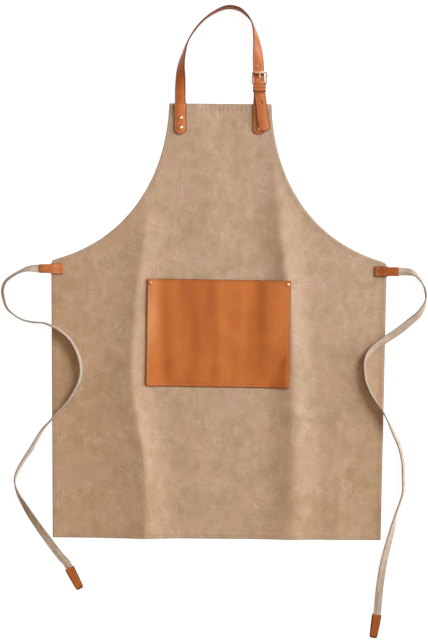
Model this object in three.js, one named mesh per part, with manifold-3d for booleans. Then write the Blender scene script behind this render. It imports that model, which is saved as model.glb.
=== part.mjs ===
// Work apron lying face up on a level surface: a hemmed canvas panel with a
// riveted leather pocket, a buckled leather neck strap and two webbing ties.
// Millimetres. The origin is on the surface, +Y runs from the hem to the neck
// and +Z points up, away from the surface.
import * as THREE from "three";
import { mergeVertices } from "three/addons/utils/BufferGeometryUtils.js";
import Module from "manifold-3d";

const wasm = await Module();
wasm.setup();

const { degToRad, lerp, smoothstep } = THREE.MathUtils;

// Driving dimensions
const GAP = 0.3;
const SEAT_GAP = 1.5 * GAP;
const PANEL = {
  top: 329,
  waist: 21.5,
  bottom: -518.5,
  bibHalf: 99.5,
  waistHalf: 327,
  hemHalf: 319.5,
  cloth: 1.2,
  hemCloth: 2.2,
  hemWidth: 11,
  hemStep: 2,
};
const ARMHOLE = { fall: 148, flare: 4, run: 146, rise: 37 };
const POCKET = {
  half: 139.5,
  top: -13.7,
  bottom: -222.9,
  turn: -0.4,
  leather: 2,
  bulge: 5.8,
  bulgeAcross: 4,
  bulgeUp: 0.8,
  foldReach: 8,
  rivetIn: 6.2,
  rivetDown: 7.8,
};
const STRAP = { width: 21, tabWidth: 23.5, leather: 2.6, bevel: 0.5, tabRound: 10, endRound: 6 };
const BUCKLE_STRAP = { x: 75.2, tabEnd: 270.5, leather: 2.4, barClearance: 0.8, arcSteps: 4 };
const BUCKLE = {
  x: 75.4,
  hingeY: 368.1,
  hingeZ: 6.4,
  barY: 389.7,
  barZ: 8.8,
  width: 29,
  wire: 2.4,
  wireBevel: 0.4,
  outerCorner: 2.4,
  innerCorner: 1.2,
};
const ROLLER = { radius: 2.5, bore: 1.9, length: 19.4, sides: 14 };
const PRONG = { radius: 1.1, eyeBore: 1.95, eyeRadius: 3.1, eyeWidth: 3, steps: 14 };
const KEEPER = {
  x: 75.6,
  y: 352.6,
  width: 13,
  halfInner: 11.1,
  low: 0.4,
  high: 15.8,
  leather: 1.4,
  outerCorner: 2.5,
  innerCorner: 1.2,
};
const TIE = { width: 14.6, webbing: 1.8, bevel: 0.6 };
const TIE_TAB = {
  y: 5,
  outer: 350,
  inner: 303,
  sleeveHalf: 8.5,
  sleeveLow: 0.7,
  patchHalf: 10,
  leather: 1.6,
  slotEnd: 319,
  rampTop: 321,
  rampFoot: 313,
  edgeGap: 1.2,
  shoulder: 1,
};
const TIP = { length: 46, mouthHalf: 9.2, endHalf: 7.4, endRound: 5, thick: 4.2, low: 0.2, slotDepth: 12 };
const NECK_RIVET = { cap: 4.2, dome: 1.7, stem: 1.6, back: 3.5, backThick: 0.7, backGap: GAP };
const POCKET_RIVET = { cap: 3.1, dome: 1.3, stem: 1.1, back: 2.4, backThick: 0.6, backGap: 1.5, slopeGap: 0.45 };
const RIVET = { spacing: 18.3, sides: 12, rim: 0.25, domeSteps: 3 };
const LEFT_RIVETS = { x: -77.2, y: 282.1 };
const RIGHT_RIVETS = { x: 76.2, y: 280.6 };
const HOLE_RADIUS = 2;
const POCKET_HOLE_RADIUS = POCKET_RIVET.stem + 2 * GAP;
// Beyond the reach of what is cut, so that a cutter goes right through
const CUT_MARGIN = 1;
const CUT_DEPTH = 60;
const WELD_DISTANCE = 1e-4;

// A table with named columns: one object for each row
function table(columns, rows) {
  return rows.map((row) => Object.fromEntries(columns.map((name, i) => [name, row[i]])));
}

// Long soft folds of the panel, a row for each place down the line of the crest: its height, how far
// the cloth takes to rise on its left and to fall on its right, and how round the crest is
const CREST_COLUMNS = ["y", "x", "height", "left", "right", "round"];
const LEFT_FOLD = table(CREST_COLUMNS, [
  [190, -140, 0, 80, 50, 4],
  [93, -143, 3.8, 80, 50, 4],
  [-20, -157, 3.7, 54, 50, 4],
  [-120, -166, 4, 54, 52, 4],
  [-219, -167, 7.5, 95, 62, 4],
  [-300, -154, 9.5, 125, 58, 4],
  [-385, -140, 9.8, 120, 54, 4],
  [-518.5, -139, 8.8, 130, 70, 4],
]);
const LEFT_SWELL = table(CREST_COLUMNS, [
  [120, -142, 0, 100, 45, 4],
  [-20, -157, 4.2, 115, 50, 4],
  [-120, -166, 4.5, 115, 52, 4],
  [-219, -167, 3, 115, 55, 4],
  [-300, -154, 2.6, 140, 54, 4],
  [-385, -140, 2.8, 170, 54, 4],
  [-518.5, -139, 2.6, 170, 70, 4],
]);
const RIGHT_FOLD = table(CREST_COLUMNS, [
  [285, 100, 0, 30, 40, 6],
  [200, 108, 3, 40, 50, 8],
  [93, 119, 7, 44, 50, 8],
  [-10, 131, 8.6, 40, 46, 6],
  [-110, 142, 8.5, 42, 40, 6],
  [-230, 146.5, 8.8, 42, 45, 10],
  [-350, 149, 9.2, 46, 46, 16],
  [-450, 148, 8.6, 56, 44, 18],
  [-518.5, 142, 7.2, 62, 42, 18],
]);
const FOLDS = [LEFT_FOLD, LEFT_SWELL, RIGHT_FOLD];

// Places where the backs of the rivets lift the panel off the surface, each level as far as
// the inner distance and gone at the outer one
const LIFTS = table(
  ["x", "y", "inner", "outer", "height"],
  [
    [LEFT_RIVETS.x, LEFT_RIVETS.y + RIVET.spacing / 2, 38, 80, 1.1],
    [RIGHT_RIVETS.x, RIGHT_RIVETS.y + RIVET.spacing / 2, 38, 80, 1.1],
  ],
);

// Height of the undersides of the strap tabs on the bib
const TAB_REST = 2.9;

// Neck strap, a row for each section from the left tab round the neck to the free end.
// roll turns the strap up on its edge, in degrees, and rest is the height of its lowest edge
const NECK_STRAP = table(
  ["x", "y", "roll", "rest", "width"],
  [
    [-77.2, 269.5, 0, TAB_REST, STRAP.tabWidth],
    [-77.6, 305, 0, TAB_REST, STRAP.tabWidth],
    [-77.9, 316, 0, TAB_REST + 1, STRAP.tabWidth],
    [-78.2, 327, 0, TAB_REST + 1, STRAP.tabWidth],
    [-78.3, 333, 0, TAB_REST + 0.4, STRAP.width],
    [-78.5, 355, 14, 0.4, STRAP.width],
    [-78.0, 378, 28, 0.1, STRAP.width],
    [-77.0, 400.7, 51, 0.1, STRAP.width],
    [-72.4, 423.8, 71, 0.1, STRAP.width],
    [-65.0, 447.2, 82, 0.1, STRAP.width],
    [-51.2, 470.6, 86, 0.1, STRAP.width],
    [-29.0, 494.9, 86, 0.1, STRAP.width],
    [0.2, 512.4, 92, 0.1, STRAP.width],
    [17.0, 515.9, 95, 0.1, STRAP.width],
    [34.8, 512.0, 94, 0.1, STRAP.width],
    [46.2, 503.9, 90, 0.1, STRAP.width],
    [58.5, 489.5, 83, 0.1, STRAP.width],
    [65.0, 471.6, 73, 0.1, STRAP.width],
    [69.4, 448.6, 53, 0.1, STRAP.width],
    [71.9, 425.9, 28, 0.2, STRAP.width],
    [73.2, 405, 6, 1.2, STRAP.width],
    [73.7, BUCKLE.barY, 0, 2.9, STRAP.width],
    [74.5, 377.5, 0, 7.6, STRAP.width],
    [75.0, BUCKLE.hingeY, 0, 11.6, STRAP.width],
    [75.4, 360, 0, 10, STRAP.width],
    [75.9, 352.6, 0, 8.4, STRAP.width],
    [79.2, 329.4, 0, 7.2, STRAP.width],
    [82.2, 306.1, 0, 7.6, STRAP.width],
    [87.6, 276.5, 0, 7.8, STRAP.width + 1],
  ],
);
const STRAP_HOLES = table(
  ["x", "y"],
  [
    [73.2, 403.2],
    [75.8, 354.4],
    [79.1, 330.6],
  ],
);
const PRONG_SLOT = { from: 370, to: 382.5, half: 2.2, past: 1 };

// Short strap beside the buckle, a row for each bend from its tab up to the hinge bar,
// and from under the bar back down to the end of its fold
const BUCKLE_STRAP_RISE = table(
  ["y", "rest", "width"],
  [
    [305, TAB_REST, STRAP.tabWidth],
    [316, TAB_REST + 1, STRAP.tabWidth],
    [327, TAB_REST + 1, STRAP.tabWidth],
    [341, TAB_REST + 1.3, STRAP.width],
    [352, TAB_REST + 2.2, STRAP.width],
    [358, TAB_REST + 3.4, STRAP.width],
    [364, 7.7, STRAP.width],
  ],
);
const BUCKLE_STRAP_RETURN = table(
  ["y", "rest", "width"],
  [
    [360, 2, STRAP.width],
    [352, 2, STRAP.width],
    [345, 1.2, STRAP.width],
    [338, 0.5, STRAP.width],
  ],
);

// Bends of the buckle's prong, measured from the hinge bar, and past the roller bar from where
// the prong comes to rest on it
const PRONG_FROM_HINGE = table(
  ["forward", "up"],
  [
    [1.8, 1.9],
    [5.2, 2.9],
    [10, 4.8],
  ],
);
const PRONG_ON_ROLLER = table(
  ["forward", "up"],
  [
    [-5.6, 0],
    [0, 0],
    [2.6, -0.6],
  ],
);

// Ties, a row for each bend of the route from the tab to the tip, with the strap's columns
const TIE_COLUMNS = ["x", "y", "roll", "rest"];
const LEFT_TIE = table(TIE_COLUMNS, [
  [-322, 5, 0, 2.5],
  [-350, 5, 0, 2.5],
  [-370, 4.6, -46, 0.6],
  [-385.7, -0.7, -70, 0.2],
  [-401.3, -9.4, -71, 0.2],
  [-414.6, -20.6, -68, 0.2],
  [-420.5, -36.4, -66, 0.2],
  [-418.8, -51.9, -68, 0.2],
  [-411.9, -72.1, -75, 0.2],
  [-398.3, -85.2, -84, 0.2],
  [-380.3, -95.2, -86, 0.2],
  [-360.3, -99.5, -86, 0.2],
  [-340.2, -100.8, -92, 1.6],
  [-326.8, -105.2, -99, 2.7],
  [-317.8, -109.2, -103, 2.7],
  [-299.8, -121.3, -104, 1.8],
  [-286.3, -135.6, -102, 1.8],
  [-276, -153.4, -103, 1.8],
  [-268.4, -175.7, -104, 1.8],
  [-266.7, -195.7, -104, 1.8],
  [-270, -213.6, -103, 1.8],
  [-280.9, -236.1, -101, 1.8],
  [-294.2, -256.2, -98, 1.8],
  [-311.9, -274.3, -95, 2.6],
  [-323.8, -289.1, -92, 2.7],
  [-340.6, -308.7, -100, 0.4],
  [-364.7, -350.2, -112, 0.2],
  [-378, -370.3, -108, 0.2],
  [-389, -390.6, -100, 0.2],
  [-393.4, -406.2, -90, 0.2],
  [-392.1, -419.6, -78, 0.2],
  [-386.3, -435.1, -64, 0.2],
  [-377.3, -450.9, -48, 0.2],
  [-363.8, -473.3, -30, 0.2],
  [-343.8, -502.4, -14, 0.2],
  [-323.7, -529.4, -6, 0.3],
  [-305.5, -553.3, 0, 0.6],
  [-291.7, -568.2, 0, 1.3],
  [-286.5, -577.6, 0, 1.4],
  [-281.8, -586.4, 0, 1.4],
]);
const RIGHT_TIE = table(TIE_COLUMNS, [
  [322, 5, 0, 2.5],
  [350, 5, 0, 2.5],
  [368.1, 4.8, 18, 0.8],
  [381, 0.8, 55, 0.3],
  [392.3, -11.4, 72, 0.2],
  [400.8, -29, 86, 0.2],
  [402.9, -44.8, 84, 0.2],
  [399.6, -60.4, 64, 0.2],
  [390.8, -76, 40, 0.2],
  [373.4, -91.9, 16, 0.3],
  [351.5, -110, 6, 1.3],
  [324.8, -128, 12, 2.8],
  [302.3, -143.9, 34, 1.8],
  [289.8, -157.4, 58, 1.8],
  [284.8, -170.6, 74, 1.8],
  [284.3, -186.4, 77, 1.8],
  [287.2, -206.4, 77, 1.8],
  [294.8, -226.4, 79, 1.8],
  [306.1, -246.5, 82, 2.2],
  [318.5, -264.1, 88, 2.7],
  [329.1, -282.9, 84, 2.4],
  [341.6, -308.2, 70, 0.3],
  [354.1, -335.5, 64, 0.2],
  [360.8, -365.4, 66, 0.2],
  [362, -392.6, 68, 0.2],
  [361.9, -422.8, 72, 0.2],
  [356.6, -441.9, 74, 0.2],
  [348.5, -466.5, 70, 0.2],
  [342.1, -494.1, 46, 0.2],
  [333, -529.8, 32, 0.2],
  [325.3, -563.1, 18, 0.2],
  [320.3, -596.1, 8, 0.3],
  [316.6, -629.1, 0, 0.6],
  [314.6, -654.5, 0, 1.3],
  [313.4, -663.4, 0, 1.4],
  [311.9, -673.3, 0, 1.4],
]);
const TIE_SPACING = 14;
const STRAP_SPACING = 11;
const DIVISIONS_PER_ROW = 20;

// Solids and cuts

function toSolid(geometry) {
  const bare = geometry.clone();
  bare.deleteAttribute("normal");
  bare.deleteAttribute("uv");
  const merged = mergeVertices(bare, WELD_DISTANCE);
  return new wasm.Manifold(
    new wasm.Mesh({
      numProp: 3,
      vertProperties: Float32Array.from(merged.attributes.position.array),
      triVerts: Uint32Array.from(merged.index.array),
    }),
  );
}

function toGeometry(solid) {
  const mesh = solid.getMesh();
  const geometry = new THREE.BufferGeometry();
  geometry.setAttribute("position", new THREE.Float32BufferAttribute(mesh.vertProperties, 3));
  geometry.setIndex(Array.from(mesh.triVerts));
  geometry.computeVertexNormals();
  return geometry;
}

function cut(geometry, cutters) {
  let solid = toSolid(geometry);
  for (const cutter of cutters) {
    solid = solid.subtract(toSolid(cutter));
  }
  return toGeometry(solid);
}

function indexed(positions, index) {
  const geometry = new THREE.BufferGeometry();
  geometry.setAttribute("position", new THREE.Float32BufferAttribute(positions, 3));
  geometry.setIndex(index);
  geometry.computeVertexNormals();
  return geometry;
}

// A round cutter that stands upright and reaches through every layer
function uprightHole(place, radius) {
  return new THREE.CylinderGeometry(radius, radius, CUT_DEPTH, RIVET.sides)
    .rotateX(Math.PI / 2)
    .translate(place.x, place.y, 0);
}

function boxBetween(low, high) {
  const size = new THREE.Vector3().subVectors(high, low);
  const middle = new THREE.Vector3().addVectors(low, high).multiplyScalar(0.5);
  return new THREE.BoxGeometry(size.x, size.y, size.z).translate(middle.x, middle.y, middle.z);
}

// A closed sheet from a grid of places, each with the height of its upper and lower face.
// Rows run from the neck to the hem and columns from left to right
function closedSheet(grid) {
  const rows = grid.length;
  const columns = grid[0].length;
  const positions = [];
  for (const face of ["high", "low"]) {
    for (const row of grid) {
      for (const place of row) {
        positions.push(place.x, place.y, place[face]);
      }
    }
  }
  const high = (r, c) => r * columns + c;
  const low = (r, c) => rows * columns + high(r, c);
  const index = [];
  for (let r = 0; r < rows - 1; r += 1) {
    for (let c = 0; c < columns - 1; c += 1) {
      index.push(high(r, c), high(r + 1, c), high(r + 1, c + 1));
      index.push(high(r, c), high(r + 1, c + 1), high(r, c + 1));
      index.push(low(r, c), low(r + 1, c + 1), low(r + 1, c));
      index.push(low(r, c), low(r, c + 1), low(r + 1, c + 1));
    }
  }
  const rim = [];
  for (let r = 0; r < rows - 1; r += 1) {
    rim.push([r, 0]);
  }
  for (let c = 0; c < columns - 1; c += 1) {
    rim.push([rows - 1, c]);
  }
  for (let r = rows - 1; r > 0; r -= 1) {
    rim.push([r, columns - 1]);
  }
  for (let c = columns - 1; c > 0; c -= 1) {
    rim.push([0, c]);
  }
  rim.forEach((from, i) => {
    const to = rim[(i + 1) % rim.length];
    index.push(low(...from), low(...to), high(...to));
    index.push(low(...from), high(...to), high(...from));
  });
  return indexed(positions, index);
}

// A strap swept along stations, each with a centre, the direction across and a half width
function sweptStrap(stations, thickness, bevel) {
  const half = thickness / 2;
  const last = stations.length - 1;
  const positions = [];
  let sides = 0;
  stations.forEach((station, i) => {
    const along = new THREE.Vector3()
      .subVectors(stations[Math.min(i + 1, last)].centre, stations[Math.max(i - 1, 0)].centre)
      .normalize();
    const face = new THREE.Vector3().crossVectors(station.across, along).normalize();
    const across = new THREE.Vector3().crossVectors(along, face);
    const w = station.half;
    const ring = [
      [w, bevel - half],
      [w, half - bevel],
      [w - bevel, half],
      [bevel - w, half],
      [-w, half - bevel],
      [-w, bevel - half],
      [bevel - w, -half],
      [w - bevel, -half],
    ];
    sides = ring.length;
    for (const [sideways, up] of ring) {
      const corner = station.centre.clone().addScaledVector(across, sideways).addScaledVector(face, up);
      positions.push(corner.x, corner.y, corner.z);
    }
  });
  const index = [];
  for (let i = 0; i < last; i += 1) {
    for (let k = 0; k < sides; k += 1) {
      const here = i * sides + k;
      const next = i * sides + ((k + 1) % sides);
      index.push(here, here + sides, next + sides, here, next + sides, next);
    }
  }
  const end = last * sides;
  for (let k = 1; k < sides - 1; k += 1) {
    index.push(0, k, k + 1, end, end + k + 1, end + k);
  }
  return indexed(positions, index);
}

// Half width near an end whose corners are rounded, at a distance from that end
function roundedHalf(half, radius, distance) {
  const short = Math.max(radius - distance, 0);
  return half - radius + Math.sqrt(radius * radius - short * short);
}

// Distances along a strap: evenly spaced, and closer together on its rounded ends
const ROUND_SHARES = [0.03, 0.15, 0.45];

function stationDistances(length, spacing, startRound, endRound) {
  const distances = [0, length];
  for (const share of ROUND_SHARES) {
    if (startRound > 0) {
      distances.push(share * startRound);
    }
    if (endRound > 0) {
      distances.push(length - share * endRound);
    }
  }
  const inner = length - startRound - endRound;
  const steps = Math.round(inner / spacing);
  for (let i = startRound > 0 ? 0 : 1; i <= (endRound > 0 ? steps : steps - 1); i += 1) {
    distances.push(startRound + (inner * i) / steps);
  }
  return distances.sort((a, b) => a - b);
}

// Stations of a strap that lies flat or stands on its edge along the rows of a table
function laidStations(rows, thickness, spacing, startRound, endRound) {
  const route = new THREE.CatmullRomCurve3(rows.map((row) => new THREE.Vector3(row.x, row.y, row.rest)));
  route.arcLengthDivisions = rows.length * DIVISIONS_PER_ROW;
  const length = route.getLength();
  return stationDistances(length, spacing, startRound, endRound).map((distance) => {
    const t = route.getUtoTmapping(distance / length);
    const place = t * (rows.length - 1);
    const first = Math.min(Math.floor(place), rows.length - 2);
    const share = place - first;
    const roll = degToRad(lerp(rows[first].roll, rows[first + 1].roll, share));
    const width = lerp(rows[first].width, rows[first + 1].width, share);
    const along = route.getTangent(t);
    const level = new THREE.Vector3(along.y, -along.x, 0).normalize();
    const across = level.multiplyScalar(Math.cos(roll)).add(new THREE.Vector3(0, 0, Math.sin(roll)));
    const rise = (width * Math.abs(Math.sin(roll)) + thickness * Math.abs(Math.cos(roll))) / 2;
    const centre = route.getPoint(t).add(new THREE.Vector3(0, 0, rise));
    let half = width / 2;
    if (distance < startRound) {
      half = roundedHalf(half, startRound, distance);
    }
    if (length - distance < endRound) {
      half = roundedHalf(half, endRound, length - distance);
    }
    return { centre, across, half };
  });
}

// Canvas panel

// A fold's crest beside a place: its row read off between the two nearest rows
function crestAt(rows, y) {
  const after = rows.findIndex((row) => row.y <= y);
  if (after <= 0) {
    return after === 0 ? rows[0] : rows[rows.length - 1];
  }
  const above = rows[after - 1];
  const below = rows[after];
  const share = (above.y - y) / (above.y - below.y);
  return Object.fromEntries(CREST_COLUMNS.map((name) => [name, lerp(above[name], below[name], share)]));
}

// Height of the panel's underside over the surface that it lies on
function foldHeight(x, y) {
  let height = 0;
  for (const rows of FOLDS) {
    const crest = crestAt(rows, y);
    const aside = x - crest.x;
    const away = Math.hypot(aside, crest.round) - crest.round;
    const reach = aside < 0 ? crest.left : crest.right;
    height += crest.height * Math.max(1 - away / reach, 0) ** 2;
  }
  for (const lift of LIFTS) {
    const away = Math.hypot(x - lift.x, y - lift.y);
    height += lift.height * (1 - smoothstep(away, lift.inner, lift.outer));
  }
  return height;
}

// Places down the right-hand outline from the bib's top corner to the hem, with the way in from each
function panelOutline() {
  const corner = new THREE.Vector2(PANEL.waistHalf, PANEL.waist);
  const armhole = new THREE.CubicBezierCurve(
    new THREE.Vector2(PANEL.bibHalf, PANEL.top),
    new THREE.Vector2(PANEL.bibHalf + ARMHOLE.flare, PANEL.top - ARMHOLE.fall),
    new THREE.Vector2(PANEL.waistHalf - ARMHOLE.run, PANEL.waist + ARMHOLE.rise),
    corner,
  );
  const side = new THREE.LineCurve(corner, new THREE.Vector2(PANEL.hemHalf, PANEL.bottom));
  const inwards = (curve, share) => {
    const along = curve.getTangentAt(share);
    return new THREE.Vector2(along.y, -along.x);
  };
  const hem = PANEL.hemWidth;
  const hemEnd = PANEL.hemWidth + PANEL.hemStep;
  const straightIn = new THREE.Vector2(-1, 0);
  const places = [];
  const armSteps = 11;
  const armLength = armhole.getLength();
  for (const distance of [0, hem, hemEnd]) {
    places.push({ at: armhole.getPointAt(distance / armLength), inward: straightIn });
  }
  for (let i = 1; i < armSteps; i += 1) {
    places.push({ at: armhole.getPointAt(i / armSteps), inward: inwards(armhole, i / armSteps) });
  }
  const before = inwards(armhole, 1);
  const after = inwards(side, 0);
  const mitre = before.clone().add(after).divideScalar(1 + before.dot(after));
  places.push({ at: corner, inward: mitre });
  const sideSteps = 12;
  const sideLength = side.getLength();
  for (let i = 1; i < sideSteps; i += 1) {
    places.push({ at: side.getPointAt(i / sideSteps), inward: straightIn });
  }
  for (const distance of [hemEnd, hem, 0]) {
    places.push({ at: side.getPointAt(1 - distance / sideLength), inward: straightIn });
  }
  return places;
}

function panelGeometry() {
  const innerColumns = 56;
  const rings = [0, PANEL.hemWidth, PANEL.hemWidth + PANEL.hemStep];
  const outline = panelOutline();
  const grid = outline.map(({ at, inward }, r) => {
    const right = rings.map((depth) => at.clone().addScaledVector(inward, depth));
    const innermost = right[right.length - 1];
    const places = right.map((p) => new THREE.Vector2(-p.x, p.y));
    for (let c = 1; c < innerColumns; c += 1) {
      places.push(new THREE.Vector2(innermost.x * ((2 * c) / innerColumns - 1), innermost.y));
    }
    places.push(...right.reverse());
    const hemRow = r < 2 || r > outline.length - 3;
    return places.map((p, c) => {
      const hemmed = hemRow || c < 2 || c > places.length - 3;
      const low = foldHeight(p.x, p.y);
      return { x: p.x, y: p.y, low, high: low + (hemmed ? PANEL.hemCloth : PANEL.cloth) };
    });
  });
  const neckHoles = NECK_RIVETS.map((place) => uprightHole(place, HOLE_RADIUS));
  const pocketHoles = POCKET_RIVETS.map((place) => uprightHole(place, POCKET_HOLE_RADIUS));
  return cut(closedSheet(grid), [...neckHoles, ...pocketHoles]);
}

// Leather pocket

// A place on the straight pocket, turned with it about its middle
function onPocket(x, y) {
  const middle = new THREE.Vector2(0, (POCKET.top + POCKET.bottom) / 2);
  return new THREE.Vector2(x, y).rotateAround(middle, degToRad(POCKET.turn));
}

// Height of the pocket's underside: it clears the panel's folds and gapes towards its mouth
function pocketUnderside(x, y) {
  const reach = POCKET.foldReach;
  const over = onPocket(x, y);
  const folds = Math.max(
    foldHeight(over.x - reach, over.y),
    foldHeight(over.x, over.y),
    foldHeight(over.x + reach, over.y),
  );
  const across = Math.abs(x) / POCKET.half;
  const up = (y - POCKET.bottom) / (POCKET.top - POCKET.bottom);
  const gape = POCKET.bulge * (1 - across ** POCKET.bulgeAcross) * Math.max(up, 0) ** POCKET.bulgeUp;
  return folds + PANEL.cloth + SEAT_GAP + gape;
}

function pocketGeometry() {
  const columns = 30;
  const rows = 10;
  const grid = [];
  for (let r = 0; r <= rows; r += 1) {
    const y = lerp(POCKET.top, POCKET.bottom, r / rows);
    const row = [];
    for (let c = 0; c <= columns; c += 1) {
      const x = lerp(-POCKET.half, POCKET.half, c / columns);
      const low = pocketUnderside(x, y);
      const place = onPocket(x, y);
      row.push({ x: place.x, y: place.y, low, high: low + POCKET.leather });
    }
    grid.push(row);
  }
  const holes = POCKET_RIVETS.map((place) => uprightHole(place, POCKET_HOLE_RADIUS));
  return cut(closedSheet(grid), holes);
}

// Rivets

function rivetPair(side, lower, leatherThick) {
  const seat = TAB_REST + leatherThick;
  return [
    { name: `neck_rivet_${side}_upper`, x: lower.x, y: lower.y + RIVET.spacing, seat },
    { name: `neck_rivet_${side}_lower`, x: lower.x, y: lower.y, seat },
  ];
}

const LEFT_NECK_RIVETS = rivetPair("left", LEFT_RIVETS, STRAP.leather);
const RIGHT_NECK_RIVETS = rivetPair("right", RIGHT_RIVETS, BUCKLE_STRAP.leather);
const NECK_RIVETS = [...LEFT_NECK_RIVETS, ...RIGHT_NECK_RIVETS];
const POCKET_RIVETS = ["left", "right"].map((side) => {
  const x = (side === "left" ? -1 : 1) * (POCKET.half - POCKET.rivetIn);
  const y = POCKET.top - POCKET.rivetDown;
  const place = onPocket(x, y);
  const seat = pocketUnderside(x, y) + POCKET.leather + POCKET_RIVET.slopeGap;
  return { name: `pocket_rivet_${side}`, x: place.x, y: place.y, seat };
});

// A rivet with a domed cap over what it holds, a stem and a flat back under the panel
function rivetGeometry(size, place) {
  const underCap = place.seat + SEAT_GAP;
  const backTop = foldHeight(place.x, place.y) - size.backGap;
  const profile = [
    new THREE.Vector2(0, backTop - size.backThick),
    new THREE.Vector2(size.back, backTop - size.backThick),
    new THREE.Vector2(size.back, backTop),
    new THREE.Vector2(size.stem, backTop),
    new THREE.Vector2(size.stem, underCap),
    new THREE.Vector2(size.cap, underCap),
  ];
  for (let i = 1; i <= RIVET.domeSteps; i += 1) {
    const turn = (i / RIVET.domeSteps) * (Math.PI / 2);
    const radius = i === RIVET.domeSteps ? 0 : size.cap * Math.cos(turn);
    const rise = lerp(RIVET.rim, 1, Math.sin(turn));
    profile.push(new THREE.Vector2(radius, underCap + size.dome * rise));
  }
  return new THREE.LatheGeometry(profile, RIVET.sides)
    .rotateX(Math.PI / 2)
    .translate(place.x, place.y, 0);
}

// Neck strap and its short partner with the buckle

function neckStrapGeometry() {
  const stations = laidStations(
    NECK_STRAP,
    STRAP.leather,
    STRAP_SPACING,
    STRAP.tabRound,
    STRAP.endRound,
  );
  const strap = sweptStrap(stations, STRAP.leather, STRAP.bevel);
  const cutters = [...STRAP_HOLES, ...LEFT_NECK_RIVETS].map((place) => uprightHole(place, HOLE_RADIUS));
  cutters.push(
    boxBetween(
      new THREE.Vector3(BUCKLE.x - PRONG_SLOT.half, PRONG_SLOT.from, 0),
      new THREE.Vector3(BUCKLE.x + PRONG_SLOT.half, PRONG_SLOT.to, KEEPER.high),
    ),
  );
  return cut(strap, cutters);
}

// The short strap lies on the panel, runs up to the buckle, folds round its bar and back underneath
function buckleStrapGeometry() {
  const half = BUCKLE_STRAP.leather / 2;
  const wrap = BUCKLE.wire / 2 + BUCKLE_STRAP.barClearance + half;
  const across = new THREE.Vector3(1, 0, 0);
  const stations = [];
  const addStation = (y, z, halfWidth) => {
    stations.push({ centre: new THREE.Vector3(BUCKLE_STRAP.x, y, z), across, half: halfWidth });
  };
  for (const share of [0, ...ROUND_SHARES, 1]) {
    const distance = share * STRAP.tabRound;
    const halfWidth = roundedHalf(STRAP.tabWidth / 2, STRAP.tabRound, distance);
    addStation(BUCKLE_STRAP.tabEnd + distance, TAB_REST + half, halfWidth);
  }
  for (const row of BUCKLE_STRAP_RISE) {
    addStation(row.y, row.rest + half, row.width / 2);
  }
  for (let i = 0; i <= BUCKLE_STRAP.arcSteps; i += 1) {
    const turn = Math.PI / 2 - (i / BUCKLE_STRAP.arcSteps) * Math.PI;
    const y = BUCKLE.hingeY + wrap * Math.cos(turn);
    addStation(y, BUCKLE.hingeZ + wrap * Math.sin(turn), STRAP.width / 2);
  }
  for (const row of BUCKLE_STRAP_RETURN) {
    addStation(row.y, row.rest + half, row.width / 2);
  }
  const strap = sweptStrap(stations, BUCKLE_STRAP.leather, STRAP.bevel);
  const cutters = RIGHT_NECK_RIVETS.map((place) => uprightHole(place, HOLE_RADIUS));
  const slotReach = wrap + half + PRONG_SLOT.past;
  cutters.push(
    boxBetween(
      new THREE.Vector3(BUCKLE.x - PRONG_SLOT.half, BUCKLE.hingeY - slotReach, 0),
      new THREE.Vector3(BUCKLE.x + PRONG_SLOT.half, BUCKLE.hingeY + slotReach, KEEPER.high),
    ),
  );
  return cut(strap, cutters);
}

// Buckle

function roundedRectangle(path, halfX, halfY, radius) {
  path.moveTo(halfX, radius - halfY);
  path.lineTo(halfX, halfY - radius);
  path.absarc(halfX - radius, halfY - radius, radius, 0, Math.PI / 2, false);
  path.lineTo(radius - halfX, halfY);
  path.absarc(radius - halfX, halfY - radius, radius, Math.PI / 2, Math.PI, false);
  path.lineTo(-halfX, radius - halfY);
  path.absarc(radius - halfX, radius - halfY, radius, Math.PI, 1.5 * Math.PI, false);
  path.lineTo(halfX - radius, -halfY);
  path.absarc(halfX - radius, radius - halfY, radius, 1.5 * Math.PI, 2 * Math.PI, false);
  return path;
}

// A flat wire loop in its own plane; the buckle's group tilts it
function buckleFrameGeometry(reach) {
  const bevel = BUCKLE.wireBevel;
  const outer = roundedRectangle(
    new THREE.Shape(),
    BUCKLE.width / 2 - bevel,
    (reach + BUCKLE.wire) / 2 - bevel,
    BUCKLE.outerCorner,
  );
  outer.holes.push(
    roundedRectangle(
      new THREE.Path(),
      BUCKLE.width / 2 - BUCKLE.wire + bevel,
      (reach - BUCKLE.wire) / 2 + bevel,
      BUCKLE.innerCorner,
    ),
  );
  return new THREE.ExtrudeGeometry(outer, {
    depth: BUCKLE.wire - 2 * bevel,
    bevelEnabled: true,
    bevelThickness: bevel,
    bevelSize: bevel,
    bevelSegments: 1,
    curveSegments: 4,
  }).translate(0, 0, bevel - BUCKLE.wire / 2);
}

// A sleeve that turns on the far bar of the frame
function rollerGeometry() {
  const half = ROLLER.length / 2;
  const bevel = BUCKLE.wireBevel;
  const profile = [
    new THREE.Vector2(ROLLER.bore, -half),
    new THREE.Vector2(ROLLER.radius - bevel, -half),
    new THREE.Vector2(ROLLER.radius, bevel - half),
    new THREE.Vector2(ROLLER.radius, half - bevel),
    new THREE.Vector2(ROLLER.radius - bevel, half),
    new THREE.Vector2(ROLLER.bore, half),
    new THREE.Vector2(ROLLER.bore, -half),
  ];
  return new THREE.LatheGeometry(profile, ROLLER.sides).rotateZ(Math.PI / 2);
}

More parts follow.
